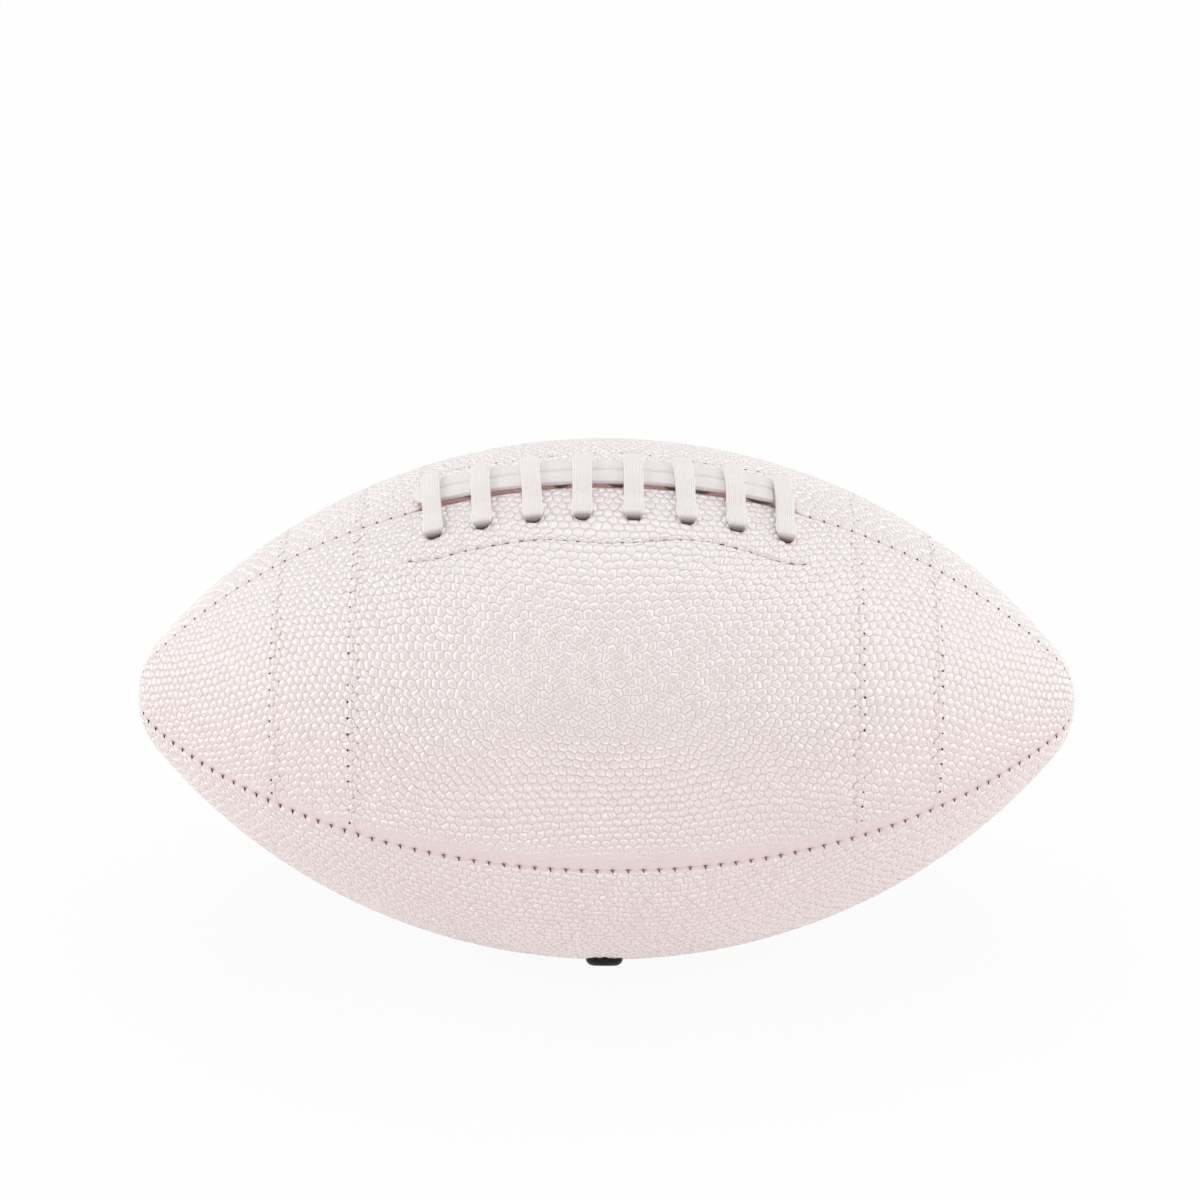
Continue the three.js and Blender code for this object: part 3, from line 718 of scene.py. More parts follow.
def cut_away(piece: Object, cutter: Mesh) -> None:
    """Cuts a closed mesh out of a piece.

    Args:
        piece: the piece to cut.
        cutter: the mesh to take away, which is deleted.
    """
    tool = bpy.data.objects.new("cutter", cutter)
    bpy.context.scene.collection.objects.link(tool)
    boolean = piece.modifiers.new("cut", "BOOLEAN")
    boolean.operation = "DIFFERENCE"
    boolean.solver = "MANIFOLD"
    boolean.object = tool
    graph = bpy.context.evaluated_depsgraph_get()
    mesh = bpy.data.meshes.new_from_object(piece.evaluated_get(graph), depsgraph=graph)
    mesh.name = piece.data.name
    piece.modifiers.clear()
    piece.data = mesh
    bpy.data.objects.remove(tool)
    bpy.data.meshes.remove(cutter)


@dataclass(frozen=True)
class LacingPlan:
    """Where the lacing lies: distances along the ball from its middle, and arcs in front of the top seam.

    Each wave of a facing's stitches is a rise away from the seam, its middle along the ball and its width. At
    both ends the row comes nearer to the seam, by a drop between two distances from the ball's middle.
    """

    shape: BallShape
    width: float = 5.4
    thickness: float = 1.6
    crosses: int = 8
    pitch: float = 14.45
    row: float = 13.3
    bend: float = 1.3
    tail: float = 9.0
    clearance: float = 0.3
    strand_gap: float = 0.4
    strand_inset: float = 0.5
    hairpin_past: float = 3.2
    ramp: float = 6.2
    slit_past: float = 3.2
    slit_taper: float = 3.0
    slit_front: float = 0.9
    slit_back: float = 2.6
    lip_front: float = -0.4
    lip_slack: float = 0.6
    facing_past: float = 13.4
    facing_width: float = 23.0
    stitch_inset: float = 1.0
    stitch_corner: float = 9.0
    stitch_waves: tuple[tuple[float, float, float], ...] = (
        (1.6, 0.0, 13.0),
        (0.6, -49.0, 5.0),
        (0.6, 49.0, 5.0),
        (-0.7, -22.0, 11.0),
        (-1.6, 27.0, 12.0),
    )
    stitch_drop: tuple[float, float, float] = (2.5, 52.0, 64.0)
    inside: float = 4.3
    leans: tuple[float, ...] = (0.6, 0.45, 0.7, 0.1, 0.2, 0.95, 0.8, 0.85)

    @property
    def half(self) -> float:
        """From the ball's middle to the last cross."""
        return (self.crosses - 1) * self.pitch / 2

    @property
    def slit_half(self) -> float:
        """Half the length of the slit at its whole width."""
        return self.half + self.slit_past

    @property
    def slit_end(self) -> float:
        """Half the length of the slit with its closing ends."""
        return self.slit_half + self.slit_taper

    @property
    def facing_half(self) -> float:
        """Half the length of the facings."""
        return self.half + self.facing_past

    @property
    def first_run(self) -> float:
        """The middle of the lengthwise run next to the slit."""
        return -self.strand_inset - self.width / 2

    @property
    def second_run(self) -> float:
        """The middle of the lengthwise run beside it."""
        return self.first_run - self.width - self.strand_gap

    def cross(self, index: int) -> float:
        """The place of a cross along the ball."""
        return index * self.pitch - self.half

    def angle(self, s: Array, arc: Array) -> Array:
        """The angles about the long axis of places that lie an arc's length in front of the top seam."""
        return QUARTER - arc / self.shape.profile(s)[1]

    def arc(self, s: Array, angle: Array) -> Array:
        """The arc's length in front of the top seam of places at an angle about the long axis."""
        return (QUARTER - angle) * self.shape.profile(s)[1]

    def opening(self, s: Array) -> Array:
        """How open the slit is along the ball, from 0 to 1."""
        return 1 - smooth(self.slit_half, self.slit_end, np.abs(s))

    def lip_reach(self, row: Row) -> float:
        """How far a lip of the slit is from the top seam, without its unevenness."""
        return self.lip_front if row is Row.FRONT else self.slit_back

    def lip(self, s: Array, row: Row) -> Array:
        """How far a lip of the slit is from the top seam along the ball, a little uneven from pulling."""
        slack = self.lip_slack * smooth(15.0, 45.0, -s) if row is Row.FRONT else 0.0
        return self.lip_reach(row) + slack + 0.14 * np.sin(s / 4.1 + row.value) + 0.08 * np.sin(s / 1.9)

    def stitch_row(self, s: Array) -> Array:
        """How far a facing's row of stitches is from the top seam, along its straight part.

        Args:
            s: distances along the ball.

        Returns:
            The distances from the seam.
        """
        waves = sum(rise * hump(s - middle, width) for rise, middle, width in self.stitch_waves)
        drop, start, stop = self.stitch_drop
        straight = self.facing_width - 2 * self.stitch_inset
        return straight + waves - drop * smooth(start, stop, np.abs(s))

    def slots(self, row: Row, wide: float, thick: float, shift: float) -> Mesh:
        """The slots that the lace goes through, as one mesh to cut with.

        Args:
            row: which row of holes.
            wide: half the slots' width along the ball.
            thick: half their height round the ball.
            shift: how far they are moved away from the seam.

        Returns:
            The cutting mesh.
        """
        bm = bmesh.new()
        for index in range(self.crosses):
            s = self.cross(index) + row.value * self.leans[index]
            angle = float(self.angle(s, row.value * (self.row + shift)))
            matrix = self.shape.frame_at(s, angle, 0.0) @ Matrix.Diagonal((wide, thick, 1.0, 1.0))
            size = {"radius1": 1.0, "radius2": 1.0, "depth": 9.0}
            bmesh.ops.create_cone(bm, cap_ends=True, segments=24, matrix=matrix, **size)
        return mesh_of(bm, "lace_slots")


@dataclass(frozen=True)
class SeamPlan:
    """Where the seams' stitches lie: needle holes at half pitches from the ball's middle, thread between."""

    pitch: float = 4.4
    end: float = 164.0

    def holes(self, low: float, high: float) -> Array:
        """The places along the ball of the needle holes in a stretch of seam."""
        first, last = math.ceil(low / self.pitch - 0.5), math.floor(high / self.pitch - 0.5)
        return (np.arange(first, last + 1) + 0.5) * self.pitch

    def between(self, s: Array) -> Array:
        """How far places are from a needle hole: 0 at one, 1 halfway to the next."""
        return 0.5 + 0.5 * np.cos(math.tau * s / self.pitch)


@dataclass(frozen=True)
class PanelPlaces:
    """Places on a panel: along the ball, about its axis, to the nearer edge, and the share of lip there."""

    quarter: Quarter
    s: Array
    angle: Array
    to_edge: Array
    lip: Array


@dataclass
class Cover:
    """The outer cover: four pebbled panels, the two top ones pieced with stripe bands.

    A pair of sizes is where a change starts and where it ends. The grain fades in between two distances from
    an edge: those of a lip, and on the front and back seams those of seam_fade and belly_fade more.
    """

    shape: BallShape
    plan: LacingPlan
    seams: SeamPlan
    leather: CoverLeather
    bottom_pebbles: PebbleField = PebbleField(shake=(0.28, 0.1), seed=5)
    thickness: float = 2.0
    seam_gap: float = 0.04
    joint_gap: float = -0.04
    tip_gap: float = 0.5
    gap_share: float = 0.2
    valley_depth: float = 0.95
    top_valley_width: float = 2.1
    bottom_valley_width: float = 0.95
    tip_fade: float = 12.0
    bottom_pillow: float = 0.5
    top_pillow: float = 0.35
    top_seam_lip: float = 0.85
    lip_depth: float = 0.42
    lip_width: float = 0.9
    row_depth: float = 0.5
    row_width: float = 0.65
    row_flattening: float = 0.4
    bottom_fade: tuple[float, float] = (0.1, 1.6)
    lip_fade: tuple[float, float] = (0.15, 1.2)
    seam_fade: tuple[float, float] = (0.95, 2.4)
    belly_fade: float = 8.0
    belly_length: float = 90.0
    bump_height: float = 0.44
    bump_shoulder: float = 0.8
    end_swell: float = 0.4
    swell_ends: tuple[float, float] = (25.0, 75.0)
    dome_share: float = 0.14
    dome_gain: float = 0.3
    round_seam: tuple[float, float] = (9.0, 27.0)
    round_ends: tuple[float, float] = (45.0, 100.0)
    sunk_share: float = 0.6
    seam_tone: float = 0.55
    seam_tone_width: float = 1.5
    stripe_from_tip: float = 70.0
    stripe_width: float = 26.5
    fine_step: float = 0.5
    whole_step: float = 0.68
    coarse_step: float = 6.0
    least_steps: int = 4
    slot_wide: float = 1.8
    slot_thick: float = 1.15
    slot_shift: float = 0.05
    valve_hole: float = 5.8
    hide_shift: float = 300.0
    material: Material = field(init=False)

    @property
    def stripe_outer(self) -> float:
        """Where the bands end, towards the tips."""
        return self.shape.tip_arc - self.stripe_from_tip

    @property
    def stripe_inner(self) -> float:
        """Where the bands start, towards the middle."""
        return self.stripe_outer - self.stripe_width

    def build(self) -> None:
        """Builds every piece of the cover."""
        self.material = self.leather.material()
        inner = self.stripe_inner - self.joint_gap
        end = self.shape.tip_arc - self.tip_gap
        spans = {
            "stripe": (self.stripe_inner + self.joint_gap, self.stripe_outer - self.joint_gap),
            "end": (self.stripe_outer + self.joint_gap, end),
        }
        for row in Row:
            node = f"{row.quarter.label}_panel"
            centre = self.piece(row.quarter, -inner, inner, node)
            cut_away(centre, self.plan.slots(row, self.slot_wide, self.slot_thick, self.slot_shift))
            settle(centre, "cover_leather", node)
            for side in Side:
                for part, span in spans.items():
                    low, high = sorted(side.value * s for s in span)
                    node = f"{row.quarter.label}_{part}_{side.label}"
                    settle(self.piece(row.quarter, low, high, node), "cover_leather", node)
        for quarter in (Quarter.BOTTOM_FRONT, Quarter.BOTTOM_BACK):
            node = f"{quarter.label}_panel"
            whole = self.piece(quarter, -end, end, node)
            if quarter is Quarter.BOTTOM_FRONT:
                cut_away(whole, self.valve_bore())
            settle(whole, "cover_leather", node)

    def piece(self, quarter: Quarter, low: float, high: float, node: str) -> Object:
        """Builds one piece of a panel.

        Args:
            quarter: the panel that it belongs to.
            low: where it starts along the ball.
            high: where it ends.
            node: the solid that it stands for.

        Returns:
            The piece.
        """
        nearest = min(abs(low), abs(high)) if low * high > 0 else 0.0
        spans = (high - low, QUARTER * float(self.shape.profile(nearest)[1]))
        steps = (self.whole_step if quarter.whole else self.fine_step, self.coarse_step)
        counts = [tuple(max(self.least_steps, round(span / step)) for span in spans) for step in steps]
        mesh = shell_mesh(f"{node}_leather", *counts)
        share_along, share_across, outside = flat_places(mesh)
        at = self.across(quarter, low + (high - low) * share_along, share_across)
        pebbles = self.bottom_pebbles if quarter.whole else self.leather.pebbles
        grain = self.grain(at)
        pebble = outside * self.grain_strength(at)
        raised = self.bumps(at, pebbles, grain, pebble)
        height = np.where(outside, raised - self.dip(at), -self.thickness)
        places = self.shape.places(at.s, at.angle, height)
        places[:, 2] = np.maximum(places[:, 2], 0.0)
        move_vertices(mesh, places)
        keep_attribute(mesh, "grain", grain)
        keep_attribute(mesh, "pebble", pebble)
        # Painted shade along the seams' valleys, weaker on the lips
        seam = outside * self.seam_tone * hump(at.to_edge, self.seam_tone_width)
        keep_attribute(mesh, "seam", seam * np.maximum(1 - 1.4 * at.lip, 0.1))
        middles = pebbles.nearest(face_means(mesh, grain))
        for index, name in enumerate(NEAR_BUMPS):
            keep_attribute(mesh, name, middles[:, index], "FACE")
        return new_piece(f"{node}_cover", mesh, self.material)

    def across(self, quarter: Quarter, s: Array, share: Array) -> PanelPlaces:
        """Places across a panel between its two edges.

        Args:
            quarter: the panel.
            s: distances along the ball.
            share: how far across the panel each place is.

        Returns:
            The places.
        """
        r = self.shape.profile(s)[1]
        lips = [np.zeros_like(s), np.zeros_like(s)]
        edges = [np.full_like(s, self.seam_gap), np.full_like(s, self.seam_gap)]
        for edge, row in ((1, Row.FRONT), (0, Row.BACK)):
            if quarter is row.quarter:
                opening = self.plan.opening(s)
                edges[edge] = self.seam_gap + (self.plan.lip(s, row) - self.seam_gap) * opening
                # Past the slit the top seam is drawn down less than the others
                lips[edge] = np.maximum(opening, self.top_seam_lip)
        edges = [np.minimum(edge, self.gap_share * r) for edge in edges]
        first = quarter.start + edges[0] / r
        last = quarter.start + QUARTER - edges[1] / r
        angle = first + (last - first) * share
        to_first, to_last = (angle - first) * r, (last - angle) * r
        lip = np.where(to_first < to_last, lips[0], lips[1])
        return PanelPlaces(quarter, s, angle, np.minimum(to_first, to_last), lip)

    def bumps(self, at: PanelPlaces, pebbles: PebbleField, grain: Array, strength: Array) -> Array:
        """The relief of the pebbles: flattest over the middle of the top panels, where the hide is stretched.

        Args:
            at: places on a panel.
            pebbles: the panel's pebbles.
            grain: where the places lie on the hide.
            strength: how strong the pebbles are there.

        Returns:
            The heights over the ball's surface.
        """
        reach = pebbles.from_valley(grain)
        shoulders = (self.bump_shoulder, pebbles.pitch / 2)
        sides, domes = (1 - (1 - np.clip(reach / size, 0, 1)) ** 2 for size in shoulders)
        rounder = swollen = 1.0
        if not at.quarter.whole:
            beside_seam = (1 - smooth(*self.round_seam, at.to_edge)) * (1 - at.lip)
            rounder = np.maximum(smooth(*self.round_ends, np.abs(at.s)), beside_seam)
            swollen = smooth(*self.swell_ends, np.abs(at.s))
        bumps = sides + (self.dome_share + self.dome_gain * rounder) * (domes - sides)
        tall = self.bump_height * (1 + self.end_swell * swollen)
        return strength * tall * (bumps - self.sunk_share)

    def beside_row(self, at: PanelPlaces) -> Array:
        """How near places are to the facing's row of stitches.

        Args:
            at: places on a panel.

        Returns:
            1 on the row, falling to 0 beside it.
        """
        if at.quarter.whole:
            return np.zeros_like(at.s)
        away = np.abs(self.plan.arc(at.s, at.angle)) - self.plan.stitch_row(at.s)
        straight = self.plan.facing_half - self.plan.stitch_corner
        return hump(away, self.row_width) * (1 - smooth(straight, self.plan.facing_half, np.abs(at.s)))

    def dip(self, at: PanelPlaces) -> Array:
        """How far the leather is drawn down at its edges and along the facing's stitches.

        Args:
            at: places on a panel.

        Returns:
            The depths below the ball's surface.
        """
        whole = at.quarter.whole
        valley_width = self.bottom_valley_width if whole else self.top_valley_width
        # Between its stitches the thread lets the edge of a panel swell up like a row of pillows
        pillow = self.bottom_pillow if whole else self.top_pillow
        valley_depth = self.valley_depth * (1 - pillow * self.seams.between(at.s))
        depth = valley_depth + (self.lip_depth - valley_depth) * at.lip
        width = valley_width + (self.lip_width - valley_width) * at.lip
        edges = depth * smooth(0.0, self.tip_fade, self.shape.profile(at.s)[1]) * hump(at.to_edge, width)
        return edges + self.row_depth * self.beside_row(at)

    def grain_strength(self, at: PanelPlaces) -> Array:
        """How strong the pebbles are: pulled flat beside the seams, more so on the top panels.

        Args:
            at: places on a panel.

        Returns:
            The strength from 0 to 1.
        """
        starts, ends = self.bottom_fade
        if not at.quarter.whole:
            # The front and back seams stretch a wide band smooth, the top seam and the slit hardly any
            stretched = 1 - smooth(0.0, self.top_seam_lip, at.lip)
            starts = self.lip_fade[0] + self.seam_fade[0] * stretched
            wider = self.seam_fade[1] + self.belly_fade * hump(at.s, self.belly_length)
            ends = self.lip_fade[1] + stretched * wider
        edges = smooth(0.0, 1.0, (at.to_edge - starts) / (ends - starts))
        return edges * (1 - self.row_flattening * self.beside_row(at))

    def grain(self, at: PanelPlaces) -> Array:
        """Where places lie on the hide that a panel was cut from: the grain swirls a little there.

        Args:
            at: places on a panel.

        Returns:
            Places in millimetres, two numbers a row.
        """
        u = at.s + self.hide_shift * at.quarter.value
        v = (at.angle - at.quarter.start - QUARTER / 2) * self.shape.profile(at.s)[1]
        wide, narrow = 1.4 if at.quarter.whole else 3.2, 0.9
        swirl_u = wide * np.cos(v / 22.0 + u / 47.0) + narrow * np.cos(v / 9.0 - u / 23.0)
        swirl_v = wide * np.cos(u / 24.0 - v / 43.0) + narrow * np.cos(u / 10.0 + v / 21.0)
        return np.column_stack([u + swirl_u, v + swirl_v])

    def valve_bore(self) -> Mesh:
        """The hole for the valve, as a mesh to cut with."""
        bm = bmesh.new()
        size = {"radius1": self.valve_hole, "radius2": self.valve_hole, "depth": 12.0}
        matrix = self.shape.frame_at(0.0, Quarter.BOTTOM_FRONT.middle, 0.0)
        bmesh.ops.create_cone(bm, cap_ends=True, segments=48, matrix=matrix, **size)
        return mesh_of(bm, "valve_bore")


@dataclass
class Lacing:
    """The lace, the facings that back its holes and the tongue under the slit."""

    plan: LacingPlan
    webbing: Webbing
    facing_cloth: Cloth
    step: float = 0.8
    around: int = 64
    bend_steps: int = 12
    end_gap: float = 0.2
    rib_height: float = 0.04
    squareness: float = 0.62
    puff: float = 0.11
    puff_width: float = 2.2
    pinch: float = 0.55
    tip_from: float = 1.6
    tip_length: float = 3.9
    hole_reach: float = 4.0
    run_swell: float = 0.2
    facing_depth: float = 2.3
    cloth_thickness: float = 0.9
    slot_room: tuple[float, float] = (0.3, 0.5)
    tongue_past: float = 8.0
    tongue_half_width: float = 17.0
    tongue_depth: float = 5.4
    lip_top: float = 0.22

    def build(self) -> None:
        """Builds the pieces of the lacing."""
        self.lace()
        cloth = self.facing_cloth.material()
        for row in Row:
            self.facing(row, cloth)
        self.tongue(cloth)

    def corners(self) -> list[tuple[tuple[float, float, float], float, float]]:
        """Lists the route's corners.

        Returns:
            For each its place along, in front and above, its bend's radius, and the way the width points.
        """
        plan = self.plan
        on = plan.clearance + plan.thickness / 2
        over = on + plan.thickness + plan.clearance
        last = plan.cross(plan.crosses - 1)
        hairpin = plan.cross(0) - plan.hairpin_past
        turn = (plan.width + plan.strand_gap) / 2
        slit = (plan.slit_front - plan.slit_back) / 2
        flat = 4 * QUARTER
        corners = [
            ((last - plan.width / 2 - self.end_gap, plan.first_run, on), 0.0, QUARTER),
            ((hairpin, plan.first_run, on), turn, 2 * QUARTER),
            ((hairpin, plan.second_run, on), turn, 3 * QUARTER),
            ((last, plan.second_run, on), turn, flat),
            ((last, slit, on), plan.bend, flat),
            ((last, slit, -plan.inside), plan.bend, flat),
        ]
        for index in reversed(range(plan.crosses)):
            s, lean = plan.cross(index), plan.leans[index]
            front, back = s + lean, s - lean
            slant = math.atan2(plan.pitch, 2 * plan.row) if index else 0.0
            corners += [
                ((front, plan.row, -plan.inside), plan.bend, flat),
                ((front, plan.row, on), plan.bend, flat),
                ((s + lean / 2, slit + plan.ramp, on), plan.ramp / 2, flat),
                ((s, slit, over), plan.ramp / 2, flat),
                ((back, -plan.row, over), plan.bend, flat),
                ((back, -plan.row, -plan.inside), plan.bend, flat + slant),
            ]
        corners.append(((plan.cross(0), plan.tail - plan.row, -plan.inside), 0.0, flat))
        return corners

    def route(self) -> tuple[Array, Array, Array]:
        """The lace's middle line with its corners rounded, at even steps.

        Returns:
            The lengths from its start, the places, and the way that the width points.
        """
        corners = self.corners()
        places, widths = [], []
        for index, (at, radius, width) in enumerate(corners):
            at = np.array(at)
            if radius == 0:
                places.append(at)
                widths.append(width)
                continue
            arrive = at - corners[index - 1][0]
            leave = np.array(corners[index + 1][0]) - at
            arrive, leave = (leg / np.linalg.norm(leg) for leg in (arrive, leave))
            turn = math.acos(np.clip(arrive @ leave, -1, 1))
            first = at - arrive * radius * math.tan(turn / 2)
            inward = leave - arrive * (arrive @ leave)
            inward /= np.linalg.norm(inward)
            before = corners[index - 1][2]
            for share in np.linspace(0, 1, self.bend_steps + 1):
                bent = turn * share
                places.append(first + radius * (arrive * math.sin(bent) + inward * (1 - math.cos(bent))))
                widths.append(before + (width - before) * share)
        places, widths = np.array(places), np.array(widths)
        lengths = np.concatenate([[0], np.cumsum(np.linalg.norm(np.diff(places, axis=0), axis=1))])
        even = np.linspace(0, lengths[-1], round(lengths[-1] / self.step) + 1)
        spread = np.column_stack([np.interp(even, lengths, column) for column in places.T])
        return even, spread, np.interp(even, lengths, widths)

    def swelling(self, places: Array, widths: Array) -> tuple[Array, Array, Array]:
        """How the lace changes on its way: puffed where it turns down, drawn in inside its holes.

        Args:
            places: places along, in front and above, one row each.
            widths: the way that the width points.

        Returns:
            How many times as wide and as thick as a flat lace it is, and how much painted shade darkens it
            where a hole hides it.
        """
        plan = self.plan
        s, arc, height = places.T
        # How far the lace has gone from the start of its turn down into a hole
        before = np.abs(arc) - plan.row + plan.bend
        turned = hump(before + self.puff_width, self.puff_width) * smooth(-0.5, 0.8, height)
        top = plan.clearance + plan.thickness / 2
        gone = before + np.where(np.abs(arc) > plan.row / 2, np.maximum(top - height, 0.0), 0.0)
        rounded = 1 - np.sqrt(1 - np.clip((gone + self.tip_from) / self.tip_length, 0, 1) ** 2)
        over_holes = np.abs(arc) > plan.row - self.hole_reach
        sunk = rounded * smooth(-plan.inside, -plan.inside / 2, height)
        # The lengthwise runs lie side by side and swell up between the crosses that hold them down
        runs = smooth(0.6, 1.0, np.abs(np.sin(widths))) * (height > 0)
        waves = 0.5 - 0.5 * np.cos(math.tau * (s + plan.half) / plan.pitch)
        rise = runs * waves * (np.abs(s) < plan.half)
        wider = 1 + self.puff * turned - self.pinch * sunk * over_holes + 0.06 * runs + 0.05 * (1 - runs)
        pinched = 0.3 * self.pinch * sunk * over_holes
        thicker = 1 + 3 * self.puff * turned + pinched + self.run_swell * rise
        # Painted shade on the lace below the surface and down in its holes
        hidden = np.maximum(smooth(0.75, -0.9, height), smooth(0.0, 2.3, gone) * over_holes)
        return wider, thicker, hidden

    def lace(self) -> None:
        """Sweeps the flat lace along its route."""
        plan, shape = self.plan, self.plan.shape
        lengths, places, widths = self.route()
        s, arc, height = places.T
        angle = plan.angle(s, arc)
        middle = shape.places(s, angle, height)
        along, around, _ = shape.directions(s, angle)
        wide = along * np.cos(widths)[:, None] - around * np.sin(widths)[:, None]
        ahead = np.gradient(middle, axis=0)
        thick = np.cross(ahead, wide)
        across = np.cross(thick, ahead)
        thick, across = (axis / np.linalg.norm(axis, axis=1)[:, None] for axis in (thick, across))
        wider, thicker, hidden = self.swelling(places, widths)

        rows = len(lengths) - 1
        bm = bmesh.new()
        bmesh.ops.create_grid(bm, x_segments=rows, y_segments=self.around, size=1.0)
        mesh = mesh_of(bm, "lace_webbing")
        share_along, share_across, _ = flat_places(mesh)
        index = np.rint(share_along * rows).astype(int)
        turn = math.tau * (share_across - 0.25)
        section = [np.sign(wave) * np.abs(wave) ** self.squareness for wave in (np.cos(turn), np.sin(turn))]
        sideways = section[0] * plan.width / 2 * wider[index]
        ribs = self.rib_height * np.cos(math.tau * sideways / self.webbing.rib) * np.abs(section[1])
        upwards = section[1] * (plan.thickness / 2 * thicker[index] + ribs)
        offset = across[index] * sideways[:, None] + thick[index] * upwards[:, None]
        move_vertices(mesh, middle[index] + MM * offset)
        # The weave of the two faces differs, so they lie far apart in its coordinates
        keep_attribute(mesh, "weave", np.column_stack([lengths[index], sideways, 40.0 * np.sign(upwards)]))
        keep_attribute(mesh, "hidden", hidden[index])

        bm = bmesh.new()
        bm.from_mesh(mesh)
        bmesh.ops.remove_doubles(bm, verts=bm.verts[:], dist=1e-6)
        bmesh.ops.holes_fill(bm, edges=[edge for edge in bm.edges if edge.is_boundary], sides=0)
        bmesh.ops.recalc_face_normals(bm, faces=bm.faces[:])
        bm.to_mesh(mesh)
        bm.free()
        LOG.info("lace length %.0f mm", lengths[-1])
        settle(new_piece("lace_webbing", mesh, self.webbing.material()), "lace_cloth", "lace")

    def sheet(self, name: str, half_length: float, arcs: Array, heights: Array, cloth: Material) -> Object:
        """Builds a piece of cloth under the lacing.

        Args:
            name: the piece's name.
            half_length: half its length along the ball.
            arcs: distances in front of the top seam, across the cloth.
            heights: heights of its upper side at these, where the slit is open.
            cloth: its material.

        Returns:
            The piece.
        """
        counts = (round(half_length), 4 * (len(arcs) - 1))
        mesh = shell_mesh(name, counts, counts)
        share_along, share_across, outside = flat_places(mesh)
        s = half_length * (2 * share_along - 1)
        steps = np.linspace(0, 1, len(arcs))
        arc, raised = (np.interp(share_across, steps, values) for values in (arcs, heights))
        level = heights[-1]
        # A turned-up edge sinks away here and there
        wave = 0.6 * np.sin(s / 3.1 + np.sin(s / 8.0)) + 0.4 * np.sin(s / 1.3) + 0.2 * np.sin(s / 20.0)
        gaps = smooth(0.1, 0.7, wave)
        height = level + (raised - level) * self.plan.opening(s) * (1 - 0.6 * gaps)
        height = height - np.where(outside, 0.0, self.cloth_thickness)
        move_vertices(mesh, self.plan.shape.places(s, self.plan.angle(s, arc), height))
        if arcs[0] < arcs[-1]:
            mesh.flip_normals()
        return new_piece(name, mesh, cloth)

    def facing(self, row: Row, cloth: Material) -> None:
        """Builds one facing, whose edge is turned up in the slit.

        Args:
            row: which row of holes it backs.
            cloth: its material.
        """
        plan = self.plan
        lip = plan.lip_reach(row)
        arcs = np.array([lip - 1.6, lip - 1.1, lip - 0.45, lip + 0.3, 8.0, 16.0, plan.facing_width])
        turned_up = [self.lip_top - 0.1, self.lip_top, self.lip_top - 0.35]
        heights = np.array(turned_up + 4 * [-self.facing_depth])
        node = f"lace_facing_{row.label}"
        piece = self.sheet(f"{node}_cloth", plan.facing_half, row.value * arcs, heights, cloth)
        wide, thick = self.slot_room
        cut_away(piece, plan.slots(row, plan.width / 2 + wide, plan.thickness / 2 + thick, 0.0))
        settle(piece, "facing_cloth", node)

    def tongue(self, cloth: Material) -> None:
        """Builds the tongue under the slit.

        Args:
            cloth: its material.
        """
        arcs = np.linspace(-self.tongue_half_width, self.tongue_half_width, 7)
        heights = np.full(len(arcs), -self.tongue_depth)
        piece = self.sheet("lace_tongue_cloth", self.plan.half + self.tongue_past, arcs, heights, cloth)
        settle(piece, "facing_cloth", "lace_tongue")


